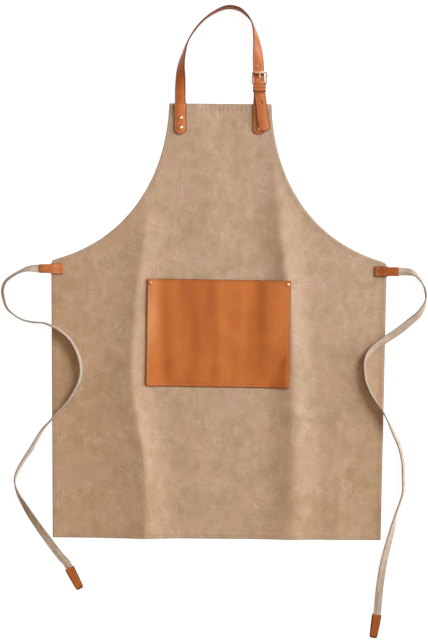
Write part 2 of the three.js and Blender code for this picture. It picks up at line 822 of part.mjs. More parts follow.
// The prong: an eye round the hinge bar and a bent pin that comes to rest on the roller
function prongGeometry() {
  const eye = new THREE.Shape().absarc(0, 0, PRONG.eyeRadius, 0, 2 * Math.PI, false);
  eye.holes.push(new THREE.Path().absarc(0, 0, PRONG.eyeBore, 0, 2 * Math.PI, true));
  const eyeGeometry = new THREE.ExtrudeGeometry(eye, {
    depth: PRONG.eyeWidth,
    bevelEnabled: false,
    curveSegments: 8,
  })
    .rotateY(Math.PI / 2)
    .translate(BUCKLE.x - PRONG.eyeWidth / 2, BUCKLE.hingeY, BUCKLE.hingeZ);
  const onRoller = BUCKLE.barZ + ROLLER.radius + GAP + PRONG.radius;
  const bends = [
    ...PRONG_FROM_HINGE.map((bend) => [BUCKLE.hingeY + bend.forward, BUCKLE.hingeZ + bend.up]),
    ...PRONG_ON_ROLLER.map((bend) => [BUCKLE.barY + bend.forward, onRoller + bend.up]),
  ];
  const route = new THREE.CatmullRomCurve3(bends.map(([y, z]) => new THREE.Vector3(BUCKLE.x, y, z)));
  const section = new THREE.Shape().absarc(0, 0, PRONG.radius, 0, 2 * Math.PI, false);
  const pin = new THREE.ExtrudeGeometry(section, {
    steps: PRONG.steps,
    extrudePath: route,
    curveSegments: 4,
  });
  return toGeometry(toSolid(eyeGeometry).add(toSolid(pin)));
}

function keeperGeometry() {
  const halfHigh = (KEEPER.high - KEEPER.low) / 2;
  const halfWide = KEEPER.halfInner + KEEPER.leather;
  const band = roundedRectangle(new THREE.Shape(), halfWide, halfHigh, KEEPER.outerCorner);
  band.holes.push(
    roundedRectangle(new THREE.Path(), KEEPER.halfInner, halfHigh - KEEPER.leather, KEEPER.innerCorner),
  );
  return new THREE.ExtrudeGeometry(band, { depth: KEEPER.width, bevelEnabled: false, curveSegments: 3 })
    .rotateX(Math.PI / 2)
    .translate(KEEPER.x, KEEPER.y + KEEPER.width, (KEEPER.high + KEEPER.low) / 2);
}

// Waist ties

// Leather tab at the hip: a patch on the panel that runs out into a sleeve round the tie.
// side is -1 for the left hip and 1 for the right
function tieTabGeometry(side) {
  const onHem = PANEL.hemCloth + GAP;
  const slotHigh = onHem + TIE.webbing + GAP;
  const high = slotHigh + TIE_TAB.leather;
  const pastEdge = PANEL.waistHalf + TIE_TAB.edgeGap;
  const patchHigh = onHem + TIE_TAB.leather;
  const profile = new THREE.Shape([
    new THREE.Vector2(TIE_TAB.outer, TIE_TAB.sleeveLow),
    new THREE.Vector2(TIE_TAB.outer, high),
    new THREE.Vector2(TIE_TAB.rampTop, high),
    new THREE.Vector2(TIE_TAB.rampFoot, patchHigh),
    new THREE.Vector2(TIE_TAB.inner, patchHigh),
    new THREE.Vector2(TIE_TAB.inner, onHem),
    new THREE.Vector2(pastEdge, onHem),
    new THREE.Vector2(pastEdge, TIE_TAB.sleeveLow),
  ]);
  const body = new THREE.ExtrudeGeometry(profile, { depth: 2 * TIE_TAB.patchHalf, bevelEnabled: false })
    .rotateX(Math.PI / 2)
    .translate(0, TIE_TAB.patchHalf, 0);
  const inner = TIE_TAB.inner - CUT_MARGIN;
  const outer = TIE_TAB.outer + CUT_MARGIN;
  const plan = new THREE.Shape([
    new THREE.Vector2(inner, -TIE_TAB.patchHalf),
    new THREE.Vector2(pastEdge - TIE_TAB.shoulder, -TIE_TAB.patchHalf),
    new THREE.Vector2(pastEdge + TIE_TAB.shoulder, -TIE_TAB.sleeveHalf),
    new THREE.Vector2(outer, -TIE_TAB.sleeveHalf),
    new THREE.Vector2(outer, TIE_TAB.sleeveHalf),
    new THREE.Vector2(pastEdge + TIE_TAB.shoulder, TIE_TAB.sleeveHalf),
    new THREE.Vector2(pastEdge - TIE_TAB.shoulder, TIE_TAB.patchHalf),
    new THREE.Vector2(inner, TIE_TAB.patchHalf),
  ]);
  const outline = new THREE.ExtrudeGeometry(plan, { depth: 2 * high, bevelEnabled: false });
  const slot = boxBetween(
    new THREE.Vector3(TIE_TAB.slotEnd, -TIE.width / 2 - GAP, PANEL.hemCloth),
    new THREE.Vector3(outer, TIE.width / 2 + GAP, slotHigh),
  );
  const solid = toSolid(body).intersect(toSolid(outline)).subtract(toSolid(slot));
  const geometry = toGeometry(solid);
  if (side < 0) {
    geometry.rotateZ(Math.PI);
  }
  return geometry.translate(0, TIE_TAB.y, 0);
}

function tieGeometry(rows) {
  const flat = rows.map((row) => ({ ...row, width: TIE.width }));
  return sweptStrap(laidStations(flat, TIE.webbing, TIE_SPACING, 0, 0), TIE.webbing, TIE.bevel);
}

// Leather end of a tie, lying along +X from its mouth, with a slot for the webbing
function tipGeometry() {
  const plan = new THREE.Shape();
  plan.moveTo(0, -TIP.mouthHalf);
  plan.lineTo(TIP.length - TIP.endRound, -TIP.endHalf);
  plan.quadraticCurveTo(TIP.length, -TIP.endHalf, TIP.length, TIP.endRound - TIP.endHalf);
  plan.lineTo(TIP.length, TIP.endHalf - TIP.endRound);
  plan.quadraticCurveTo(TIP.length, TIP.endHalf, TIP.length - TIP.endRound, TIP.endHalf);
  plan.lineTo(0, TIP.mouthHalf);
  const body = new THREE.ExtrudeGeometry(plan, { depth: TIP.thick, bevelEnabled: false, curveSegments: 4 });
  const slotHalf = TIE.webbing / 2 + GAP;
  const slot = boxBetween(
    new THREE.Vector3(-CUT_MARGIN, -TIE.width / 2 - GAP, TIP.thick / 2 - slotHalf),
    new THREE.Vector3(TIP.slotDepth, TIE.width / 2 + GAP, TIP.thick / 2 + slotHalf),
  );
  return cut(body, [slot]);
}

// Assembly

const COLOURS = {
  canvas: 0xb69477,
  webbing: 0xbea896,
  pocketLeather: 0xbd6935,
  strapLeather: 0xb8693a,
  brass: 0xc8a06c,
};

function leather(colour) {
  return new THREE.MeshStandardMaterial({ color: colour, roughness: 0.55, metalness: 0 });
}

function cloth(colour) {
  return new THREE.MeshStandardMaterial({ color: colour, roughness: 0.9, metalness: 0 });
}

function metal(colour) {
  return new THREE.MeshStandardMaterial({ color: colour, roughness: 0.35, metalness: 1 });
}

const apron = new THREE.Group();

function addPiece(parent, name, geometry, material) {
  const mesh = new THREE.Mesh(geometry, material);
  mesh.name = name;
  parent.add(mesh);
  return mesh;
}

addPiece(apron, "panel", panelGeometry(), cloth(COLOURS.canvas));
addPiece(apron, "pocket", pocketGeometry(), leather(COLOURS.pocketLeather));
for (const place of POCKET_RIVETS) {
  addPiece(apron, place.name, rivetGeometry(POCKET_RIVET, place), metal(COLOURS.brass));
}
addPiece(apron, "neck_strap", neckStrapGeometry(), leather(COLOURS.strapLeather));
addPiece(apron, "buckle_strap", buckleStrapGeometry(), leather(COLOURS.strapLeather));
for (const place of NECK_RIVETS) {
  addPiece(apron, place.name, rivetGeometry(NECK_RIVET, place), metal(COLOURS.brass));
}

const frameReach = Math.hypot(BUCKLE.barY - BUCKLE.hingeY, BUCKLE.barZ - BUCKLE.hingeZ);
const buckle = new THREE.Group();
buckle.position.set(BUCKLE.x, (BUCKLE.hingeY + BUCKLE.barY) / 2, (BUCKLE.hingeZ + BUCKLE.barZ) / 2);
buckle.rotation.x = Math.atan2(BUCKLE.barZ - BUCKLE.hingeZ, BUCKLE.barY - BUCKLE.hingeY);
addPiece(buckle, "buckle_frame", buckleFrameGeometry(frameReach), metal(COLOURS.brass));
const roller = addPiece(buckle, "buckle_roller", rollerGeometry(), metal(COLOURS.brass));
roller.position.y = frameReach / 2;
apron.add(buckle);
addPiece(apron, "buckle_prong", prongGeometry(), metal(COLOURS.brass));
addPiece(apron, "keeper", keeperGeometry(), leather(COLOURS.strapLeather));

const TIES = [
  { name: "left", side: -1, rows: LEFT_TIE },
  { name: "right", side: 1, rows: RIGHT_TIE },
];
for (const { name, side, rows } of TIES) {
  addPiece(apron, `tie_tab_${name}`, tieTabGeometry(side), leather(COLOURS.strapLeather));
  addPiece(apron, `tie_${name}`, tieGeometry(rows), cloth(COLOURS.webbing));
  const mouth = rows[rows.length - 2];
  const end = rows[rows.length - 1];
  const tip = addPiece(apron, `tie_tip_${name}`, tipGeometry(), leather(COLOURS.strapLeather));
  tip.position.set(mouth.x, mouth.y, TIP.low);
  tip.rotation.z = Math.atan2(end.y - mouth.y, end.x - mouth.x);
}

export default apron;
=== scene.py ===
"""Bib apron laid out face up on a pale floor, seen from straight above.

Lengths are in metres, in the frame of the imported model: the origin is on the floor, +Y runs from
the hem to the neck and +Z points up. Long tables of rows are in millimetres and degrees.
"""
import logging
import math
from collections.abc import Callable
from dataclasses import dataclass, field, replace
from enum import Enum
from functools import partial, reduce

import bmesh
import bpy
import numpy as np
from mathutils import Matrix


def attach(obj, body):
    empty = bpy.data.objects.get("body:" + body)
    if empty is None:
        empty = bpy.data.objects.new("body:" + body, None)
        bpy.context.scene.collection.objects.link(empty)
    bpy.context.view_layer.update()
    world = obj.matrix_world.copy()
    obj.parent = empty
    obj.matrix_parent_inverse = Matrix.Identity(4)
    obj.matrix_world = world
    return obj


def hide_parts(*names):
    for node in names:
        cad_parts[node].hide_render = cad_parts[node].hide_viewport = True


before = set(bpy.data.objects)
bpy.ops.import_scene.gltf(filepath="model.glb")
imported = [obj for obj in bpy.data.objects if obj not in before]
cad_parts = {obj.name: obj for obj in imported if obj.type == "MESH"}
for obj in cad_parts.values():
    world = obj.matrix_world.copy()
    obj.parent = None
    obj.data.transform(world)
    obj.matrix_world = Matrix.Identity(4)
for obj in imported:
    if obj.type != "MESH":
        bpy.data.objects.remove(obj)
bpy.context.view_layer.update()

LOG = logging.getLogger("apron")
BODY = "root"
MM = 0.001
UP, SIDEWAYS = np.array([0.0, 0.0, 1.0]), np.array([1.0, 0.0, 0.0])
MIRROR = np.array([-1.0, 1.0])
Array = np.ndarray
Rows = tuple[tuple[float, ...], ...]
Vector = tuple[float, float, float]
Section = tuple[Array, Array, Array]
Material, Piece, Socket = bpy.types.Material, bpy.types.Object, bpy.types.NodeSocket


class Slot(Enum):
    """The record's material slots."""

    CANVAS = "canvas"
    WEBBING = "webbing"
    POCKET_LEATHER = "pocket_leather"
    STRAP_LEATHER = "strap_leather"
    BRASS = "brass"


class Side(Enum):
    """The apron's sides as seen from above; the value is the sign of X."""

    LEFT = -1
    RIGHT = 1

    @property
    def word(self) -> str:
        """The side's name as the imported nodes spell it."""
        return self.name.lower()


# Arithmetic shared by the pieces


def smoothstep(value: Array, low: float, high: float) -> Array:
    """Rises from 0 at low to 1 at high along 3s^2 - 2s^3."""
    share = np.clip((value - low) / (high - low), 0.0, 1.0)
    return share * share * (3.0 - 2.0 * share)


def bell(value: Array, centre: float, width: float) -> Array:
    """A hump of height 1 round a centre: exp of minus the squared distance over width."""
    return np.exp(-(((value - centre) / width) ** 2))


def ebb(depth: Array, width: float | Array) -> Array:
    """Falls from 1 at depth 0 to 0 at a width along (1 - s)^2."""
    return np.maximum(1.0 - depth / width, 0.0) ** 2


def unit(vectors: Array) -> Array:
    """Vectors scaled to length 1 along their last axis."""
    return vectors / np.linalg.norm(vectors, axis=-1, keepdims=True)


def stacked(*columns: Array | float) -> Array:
    """Columns of any fitting shapes side by side along a new last axis."""
    return np.stack(np.broadcast_arrays(*columns), axis=-1)


def full_turn(steps: int) -> Array:
    """Angles of a full turn in even steps."""
    return np.linspace(0.0, 2 * math.pi, steps, endpoint=False)


def squarish(turn: Array, power: float) -> list[Array]:
    """Both places of angles on the rounded square |a|^power + |b|^power = 1."""
    return [np.sign(wave) * np.abs(wave) ** (2 / power) for wave in (np.cos(turn), np.sin(turn))]


def run_length(points: Array) -> Array:
    """Distance along a line of points, from 0 at the first."""
    steps = np.linalg.norm(np.diff(points, axis=0), axis=1)
    return np.concatenate([[0.0], np.cumsum(steps)])


def at_distances(distances: Array, lengths: Array, rows: Array) -> Array:
    """Rows read off a line at given distances, each column by straight interpolation."""
    return np.stack([np.interp(distances, lengths, column) for column in rows.T], axis=1)


def smooth_line(rows: Array, per_gap: int) -> Array:
    """A centripetal Catmull-Rom line through rows.

    Between two rows each column is the cubic with the end slopes
    (b-a)/p - (c-a)/(p+q) + (c-b)/q, where p and q are the square roots of the
    distances between neighbouring rows in their first three columns.

    Args:
        rows: One row for each point; the first three columns are its place.
        per_gap: Steps between two rows.

    Returns:
        The line's rows, with the columns of the input.
    """
    knots = np.vstack([2 * rows[0] - rows[1], rows, 2 * rows[-1] - rows[-2]])
    gaps = len(rows) - 1
    root = np.sqrt(np.linalg.norm(np.diff(knots[:, :3], axis=0), axis=1))
    before, here, after = (root[i : gaps + i, None] for i in range(3))
    a, b, c, d = (knots[i : gaps + i] for i in range(4))
    leave = here * ((b - a) / before - (c - a) / (before + here) + (c - b) / here)
    arrive = here * ((c - b) / here - (d - b) / (here + after) + (d - c) / after)
    t = np.linspace(0.0, 1.0, per_gap, endpoint=False)[None, :, None]
    b, c, leave, arrive = (term[:, None, :] for term in (b, c, leave, arrive))
    bend = -3 * b + 3 * c - 2 * leave - arrive
    turn = 2 * b - 2 * c + leave + arrive
    line = b + leave * t + bend * t**2 + turn * t**3
    return np.vstack([line.reshape(-1, rows.shape[1]), rows[-1]])


# Meshes


@dataclass
class Surface:
    """A closed mesh: points, faces and the values that its points carry."""

    points: Array
    faces: list[list[int]]
    values: dict[str, Array] = field(default_factory=dict)


def grid_quads(rows: int, columns: int, close_rows: bool, close_columns: bool) -> Array:
    """Four-cornered faces of a grid of points, row by row.

    Args:
        rows: Rows of points.
        columns: Points in a row.
        close_rows: Whether the last row joins the first.
        close_columns: Whether a row's last point joins its first.

    Returns:
        One row of four point numbers for each face.
    """
    r = np.arange(rows if close_rows else rows - 1)[:, None]
    c = np.arange(columns if close_columns else columns - 1)[None, :]
    below, right = (r + 1) % rows, (c + 1) % columns
    corners = (r * columns + c, below * columns + c, below * columns + right, r * columns + right)
    return stacked(*corners).reshape(-1, 4)


def tube(rings: Array, closed: bool = False, values: dict[str, Array] | None = None) -> Surface:
    """A skin over rings of points, one ring for each place along a path.

    Args:
        rings: Points by place, corner and axis.
        closed: Whether the last ring joins the first; otherwise flat ends close it.
        values: Values for each point, by place and corner.

    Returns:
        The closed surface.
    """
    places, corners = rings.shape[:2]
    faces = grid_quads(places, corners, closed, True).tolist()
    if not closed:
        last = (places - 1) * corners
        faces += [list(range(corners)), list(range(last, last + corners))]
    flat = {key: value.reshape(-1, *value.shape[2:]) for key, value in (values or {}).items()}
    return Surface(rings.reshape(-1, 3), faces, flat)


def sheet(x: Array, y: Array, low: Array, high: Array, values: dict[str, Array]) -> Surface:
    """A wall between two heights over a grid of places, closed by its rim.

    Args:
        x: Places across.
        y: Places along.
        low: Height of the underside.
        high: Height of the upper side.
        values: Values for each place, carried by both sides.

    Returns:
        The closed surface.
    """
    points = np.vstack([stacked(x, y, level).reshape(-1, 3) for level in (high, low)])
    rows, columns = x.shape
    quads = grid_quads(rows, columns, False, False)
    number = np.arange(rows * columns).reshape(rows, columns)
    rim = np.concatenate([number[0], number[1:, -1], number[-1, -2::-1], number[-2:0:-1, 0]])
    ahead, drop = np.roll(rim, -1), rows * columns
    walls = np.stack([rim, ahead, ahead + drop, rim + drop], axis=1)
    faces = np.vstack([quads, quads[:, ::-1] + drop, walls]).tolist()
    return Surface(points, faces, {key: np.tile(value.ravel(), 2) for key, value in values.items()})


def joined(surfaces: list[Surface]) -> Surface:
    """Several surfaces as one, their point numbers moved on.

    Args:
        surfaces: The surfaces.

    Returns:
        One surface, without values.
    """
    points, faces = [], []
    for surface in surfaces:
        start = sum(len(part) for part in points)
        faces += [[start + number for number in face] for face in surface.faces]
        points.append(surface.points)
    return Surface(np.vstack(points), faces)


def put(name: str, data: bpy.types.ID) -> Piece:
    """A new object at the origin, in the scene.

    Args:
        name: Its name.
        data: Its mesh, lamp or lens.

    Returns:
        The object.
    """
    thing = bpy.data.objects.new(name, data)
    bpy.context.scene.collection.objects.link(thing)
    return thing


def make_mesh(name: str, surface: Surface, sharp_deg: float) -> Piece:
    """Puts a surface into the scene with its faces outwards and shaded smooth.

    Args:
        name: The new object's name.
        surface: The closed surface.
        sharp_deg: Edges that bend more than this stay sharp.

    Returns:
        The new object, at the origin.
    """
    mesh = bpy.data.meshes.new(name)
    mesh.from_pydata(surface.points.tolist(), [], surface.faces)
    for key, value in surface.values.items():
        plain = value.ndim == 1
        layer = mesh.attributes.new(key, "FLOAT" if plain else "FLOAT_VECTOR", "POINT")
        layer.data.foreach_set("value" if plain else "vector", value.astype(np.float32).ravel())
    shell = bmesh.new()
    shell.from_mesh(mesh)
    bmesh.ops.recalc_face_normals(shell, faces=shell.faces)
    shell.to_mesh(mesh)
    shell.free()
    mesh.shade_smooth()
    mesh.set_sharp_from_angle(angle=math.radians(sharp_deg))
    return put(name, mesh)


def cut_out(piece: Piece, cutter: Surface) -> None:
    """Cuts a closed surface out of a piece for good.

    Args:
        piece: The piece to cut.
        cutter: What is taken away.
    """
    tool = make_mesh(f"{piece.name}_cutter", cutter, 30.0)
    cut = piece.modifiers.new("cut", "BOOLEAN")
    cut.operation, cut.solver, cut.object = "DIFFERENCE", "EXACT", tool
    bpy.context.view_layer.update()
    whole = piece.data
    shown = piece.evaluated_get(bpy.context.evaluated_depsgraph_get())
    piece.data = bpy.data.meshes.new_from_object(shown)
    piece.modifiers.clear()
    bpy.data.objects.remove(tool)
    bpy.data.meshes.remove(whole)


def dress(piece: Piece, material: Material, slot: Slot, *nodes: str) -> Piece:
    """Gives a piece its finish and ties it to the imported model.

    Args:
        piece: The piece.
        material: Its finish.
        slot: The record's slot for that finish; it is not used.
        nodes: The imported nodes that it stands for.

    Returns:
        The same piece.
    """
    piece.data.materials.clear()
    piece.data.materials.append(material)
    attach(piece, BODY)
    if nodes:
        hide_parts(*nodes)
    LOG.info("%s: %d faces", piece.name, len(piece.data.polygons))
    return piece


# Finishes


def linear(hex_colour: str) -> tuple[float, ...]:
    """Turns an sRGB hex colour to linear red, green, blue and alpha."""
    coded = np.array([int(hex_colour[i : i + 2], 16) for i in (1, 3, 5)]) / 255.0
    return (*np.where(coded <= 0.04045, coded / 12.92, ((coded + 0.055) / 1.055) ** 2.4).tolist(), 1.0)


def fill(tree: bpy.types.NodeTree, node: bpy.types.Node, sockets: dict[str | int, object]) -> None:
    """Sets or links a node's inputs.

    Args:
        tree: The nodes that it is one of.
        node: The node.
        sockets: Inputs by name or number, each a value or a socket to link.
    """
    for key, value in sockets.items():
        named = (socket for socket in node.inputs if socket.name == key and socket.enabled)
        socket = node.inputs[key] if isinstance(key, int) else next(named)
        if isinstance(value, Socket):
            tree.links.new(value, socket)
        else:
            socket.default_value = value


def add_node(
    tree: bpy.types.NodeTree,
    kind: str,
    sockets: dict[str | int, object] | None = None,
    output: str = "",
    **settings: object,
) -> Socket:
    """Adds a node, sets its options and fills or links its inputs.

    Args:
        tree: The material's nodes.
        kind: The node's type.
        sockets: Inputs by name or number, each a value or a socket to link.
        output: The output wanted, or the first one in use.
        settings: The node's own options.

    Returns:
        The output socket.
    """
    node = tree.nodes.new(kind)
    for key, value in settings.items():
        setattr(node, key, value)
    fill(tree, node, sockets or {})
    return next(socket for socket in node.outputs if socket.enabled and output in ("", socket.name))


def new_material(name: str) -> tuple[Material, Callable, Callable]:
    """An empty material, what adds a node to it and what fills its shader.

    Args:
        name: Its name.

    Returns:
        The material and both calls.
    """
    material = bpy.data.materials.new(name)
    material.use_nodes = True
    tree = material.node_tree
    return material, partial(add_node, tree), partial(fill, tree, tree.nodes["Principled BSDF"])


NOISE, RANGE, MIX = "ShaderNodeTexNoise", "ShaderNodeMapRange", "ShaderNodeMix"
MATH, CELLS, WAVE = "ShaderNodeMath", "ShaderNodeTexVoronoi", "ShaderNodeTexWave"
VECTOR, SPLIT, PLACE = "ShaderNodeVectorMath", "ShaderNodeSeparateXYZ", "ShaderNodeTexCoord"
CARRIED, BUMP, MAPPING = "ShaderNodeAttribute", "ShaderNodeBump", "ShaderNodeMapping"
BANDS_PER_UNIT = 20.0 / (2.0 * math.pi)


def weave(add: Callable, place: Socket, thread: float, wander: float) -> Socket:
    """Threads that cross at right angles: the product of two rows of waves.

    Args:
        add: Adds a node to the material.
        place: Places on the cloth.
        thread: Distance between threads.
        wander: How far the threads stray.

    Returns:
        The height of the cloth.
    """
    waves = {"Vector": place, "Scale": 1 / (thread * BANDS_PER_UNIT), "Distortion": wander}
    ways = [add(WAVE, waves, bands_direction=axis) for axis in ("X", "Y")]
    return add(MATH, {0: ways[0], 1: ways[1]}, operation="MULTIPLY")


@dataclass(frozen=True)
class WaxedCanvas:
    """Waxed cotton canvas: plain woven, then rubbed with wax and crumpled.

    The eye gets a dry, almost flat surface, cloudy light and dark where the wax has moved,
    and fine pale lines where the wax has cracked along old creases.
    """

    name: str = "waxed_cotton_canvas"
    light: str = "#BA9B7E"
    dark: str = "#AA8B6C"
    rosy: str = "#B58E77"
    # Painted shade: a warm, darker tint, and below it the directions where it is laid on
    painted_shade_tint: str = "#FCF5E8"
    crease: str = "#D9BCA2"
    edge: str = "#6B5A4C"
    cloud: Vector = (0.018, 0.026, 0.018)
    warp: float = 0.05
    warp_reach: float = 0.025
    drift: float = 0.06
    painted_shade_towards: tuple[tuple[Vector, float, float], ...] = (
        ((-0.9, -0.2, 0.0), 0.02, 0.3),
        ((0.7, -0.6, 0.0), 0.18, 0.5),
    )
    stroke: Vector = (0.0032, 0.05, 1.0)
    stroke_turns_deg: tuple[float, ...] = (8.0, 55.0, -35.0, 82.0)
    patch: float = 0.05
    thread: float = 0.0009

    def material(self) -> Material:
        """Clouds of two tones, a drift to rosy, painted shade towards the left and the lower right, darker
        edges, pale strokes and a fine weave.

        Returns:
            The material.
        """
        material, add, shade = new_material(self.name)
        place = add(PLACE, output="Object")
        warp = add(NOISE, {"Vector": place, "Scale": 1 / self.warp, "Detail": 3.0}, "Color")
        bent = add(VECTOR, {0: warp, 1: (self.warp_reach,) * 3, 2: place}, operation="MULTIPLY_ADD")
        drawn = add(VECTOR, {0: bent, 1: self.cloud}, operation="DIVIDE")
        cloud = add(NOISE, {"Vector": drawn, "Scale": 1.0, "Detail": 6.0, "Roughness": 0.58})
        slow = add(NOISE, {"Vector": place, "Scale": 1 / self.drift, "Detail": 3.0})
        both = add(MATH, {0: slow, 1: 0.6, 2: cloud}, operation="MULTIPLY_ADD")
        tone = add(RANGE, {"Value": both, "From Min": 0.62, "From Max": 0.98})
        blush = add(RANGE, {"Value": slow, "From Min": 0.48, "From Max": 0.68, "To Max": 0.55})
        # Painted shade: the colour turns darker and warmer towards the left and the lower right corner, where
        # less light falls
        sides = []
        for towards, start, end in self.painted_shade_towards:
            across = add(VECTOR, {0: place, 1: towards}, operation="DOT_PRODUCT")
            sides.append(add(RANGE, {"Value": across, "From Min": start, "From Max": end}))
        wax = add(MATH, {0: sides[0], 1: sides[1]}, operation="MAXIMUM")
        # Old creases are short pale strokes that wander, in a few directions, in patches
        patches = add(NOISE, {"Vector": place, "Scale": 1 / self.patch, "Detail": 2.0})
        marked = add(RANGE, {"Value": patches, "From Min": 0.36, "From Max": 0.64})
        strokes = []
        for turn_deg in self.stroke_turns_deg:
            turn = {"Rotation": (0.0, 0.0, math.radians(turn_deg)), "Scale": self.stroke}
            turned = add(MAPPING, {"Vector": bent, **turn}, vector_type="TEXTURE")
            fibre = add(NOISE, {"Vector": turned, "Scale": 1.0, "Detail": 2.0})
            strokes.append(add(RANGE, {"Value": fibre, "From Min": 0.57, "From Max": 0.79}))
        stroke = reduce(lambda one, two: add(MATH, {0: one, 1: two}, operation="MAXIMUM"), strokes)
        marks = add(MATH, {0: stroke, 1: marked}, operation="MULTIPLY")
        pale = add(MATH, {0: marks, 1: 0.55}, operation="MULTIPLY")
        # Darker along the very edge, and painted shade along the hem's seam groove
        rim = add(CARRIED, output="Fac", attribute_name="edge")
        edge_and_seam_darkening = add(MATH, {0: rim, 1: 0.75}, operation="MULTIPLY")
        tones = {"Factor": tone, "A": linear(self.dark), "B": linear(self.light)}
        colour = add(MIX, tones, data_type="RGBA")
        for share, tint, blend in (
            (blush, self.rosy, "MIX"),
            (wax, self.painted_shade_tint, "MULTIPLY"),
            (pale, self.crease, "MIX"),
            (edge_and_seam_darkening, self.edge, "MIX"),
        ):
            tones = {"Factor": share, "A": colour, "B": linear(tint)}
            colour = add(MIX, tones, data_type="RGBA", blend_type=blend)
        dry = {"From Min": 0.3, "From Max": 0.7, "To Min": 0.9, "To Max": 0.74}
        rough = add(RANGE, {"Value": cloud, **dry})
        # Threads 0.5 mm apart are drawn 0.9 mm apart, so that they show from near
        cloth = weave(add, place, self.thread, 0.6)
        threads = add(MATH, {0: cloth, 1: 0.15}, operation="MULTIPLY")
        relief = add(MATH, {0: marks, 1: 0.1, 2: threads}, operation="MULTIPLY_ADD")
        rumpled = add(MATH, {0: cloud, 1: 0.8, 2: relief}, operation="MULTIPLY_ADD")
        bump = add(BUMP, {"Strength": 0.4, "Distance": 0.001, "Height": rumpled})
        shade({"Base Color": colour, "Roughness": rough, "Specular IOR Level": 0.2, "Normal": bump})
        return material


@dataclass(frozen=True)
class CottonTape:
    """Cotton tape: narrow plain weave, washed soft.

    The eye gets a matt, slightly ribbed band with firmer, darker edges.
    """

    name: str = "woven_cotton_tape"
    light: str = "#BBA28B"
    dark: str = "#AB917A"
    edge: str = "#7A7268"
    blotch: float = 0.02
    thread: float = 0.0011

    def material(self) -> Material:
        """Ribs along and across the tape, with soft blotches and darker edges.

        Returns:
            The material.
        """
        material, add, shade = new_material(self.name)
        lay = add(CARRIED, output="Vector", attribute_name="lay")
        rim = add(SPLIT, {"Vector": lay}, "Z")
        blotch = add(NOISE, {"Vector": lay, "Scale": 1 / self.blotch, "Detail": 5.0})
        tone = add(RANGE, {"Value": blotch, "From Min": 0.34, "From Max": 0.62})
        # Darker and greyer along both edges
        darkening = add(MATH, {0: rim, 1: 0.5}, operation="MULTIPLY")
        colour = linear(self.dark)
        for share, tint in ((tone, self.light), (darkening, self.edge)):
            colour = add(MIX, {"Factor": share, "A": colour, "B": linear(tint)}, data_type="RGBA")
        # Threads 0.6 mm apart are drawn 1.1 mm apart, so that they show from near
        cloth = weave(add, lay, self.thread, 0.3)
        bump = add(BUMP, {"Strength": 0.6, "Distance": 0.0004, "Height": cloth})
        shade({"Base Color": colour, "Roughness": 0.9, "Specular IOR Level": 0.2, "Normal": bump})
        return material


@dataclass(frozen=True)
class PocketLeather:
    """Vegetable-tanned leather: full grain, oiled and burnished by hand.

    The eye gets a warm orange brown with soft streaks down the hide, a low sheen and
    darker, burnished edges.
    """

    name: str = "vegetable_tanned_leather"
    light: str = "#BF692B"
    dark: str = "#AA561E"
    edge: str = "#74381A"
    # Painted sheen: the pale tint of the leather's soft highlight
    rubbed: str = "#D8935F"
    streak: Vector = (0.034, 0.22, 0.05)
    blotch: float = 0.05
    grain: float = 0.0013
    wrinkle: float = 0.004

    def material(self) -> Material:
        """Streaks and blotches of two tones, a painted sheen on the left, burnished edges and a pebbled
        grain.

        Returns:
            The material.
        """
        material, add, shade = new_material(self.name)
        place = add(PLACE, output="Object")
        long = add(VECTOR, {0: place, 1: self.streak}, operation="DIVIDE")
        streak = add(NOISE, {"Vector": long, "Scale": 1.0, "Detail": 1.0})
        blotch = add(NOISE, {"Vector": place, "Scale": 1 / self.blotch, "Detail": 4.0, "Roughness": 0.5})
        both = add(MATH, {0: streak, 1: blotch}, operation="ADD")
        tone = add(RANGE, {"Value": both, "From Min": 0.72, "From Max": 1.28})
        # Painted sheen: a pale tint where the leather's soft highlight shows
        painted_sheen = add(CARRIED, output="Fac", attribute_name="painted_sheen")
        pale = add(MATH, {0: painted_sheen, 1: 0.6}, operation="MULTIPLY")
        rim = add(CARRIED, output="Fac", attribute_name="edge")
        colour = linear(self.dark)
        for share, tint in ((tone, self.light), (pale, self.rubbed), (rim, self.edge)):
            colour = add(MIX, {"Factor": share, "A": colour, "B": linear(tint)}, data_type="RGBA")
        # Pores 0.5 mm apart are drawn 1.3 mm apart, so that they show from near
        grain = add(CELLS, {"Vector": place, "Scale": 1 / self.grain})
        fine = add(NOISE, {"Vector": place, "Scale": 1 / self.wrinkle, "Detail": 4.0})
        relief = add(MATH, {0: fine, 1: 1.4, 2: grain}, operation="MULTIPLY_ADD")
        bump = add(BUMP, {"Strength": 0.25, "Distance": 0.0003, "Height": relief})
        sheen = {"From Min": 0.3, "From Max": 0.7, "To Min": 0.5, "To Max": 0.38}
        rough = add(RANGE, {"Value": blotch, **sheen})
        shade({"Base Color": colour, "Roughness": rough, "Specular IOR Level": 0.3, "Normal": bump})
        return material


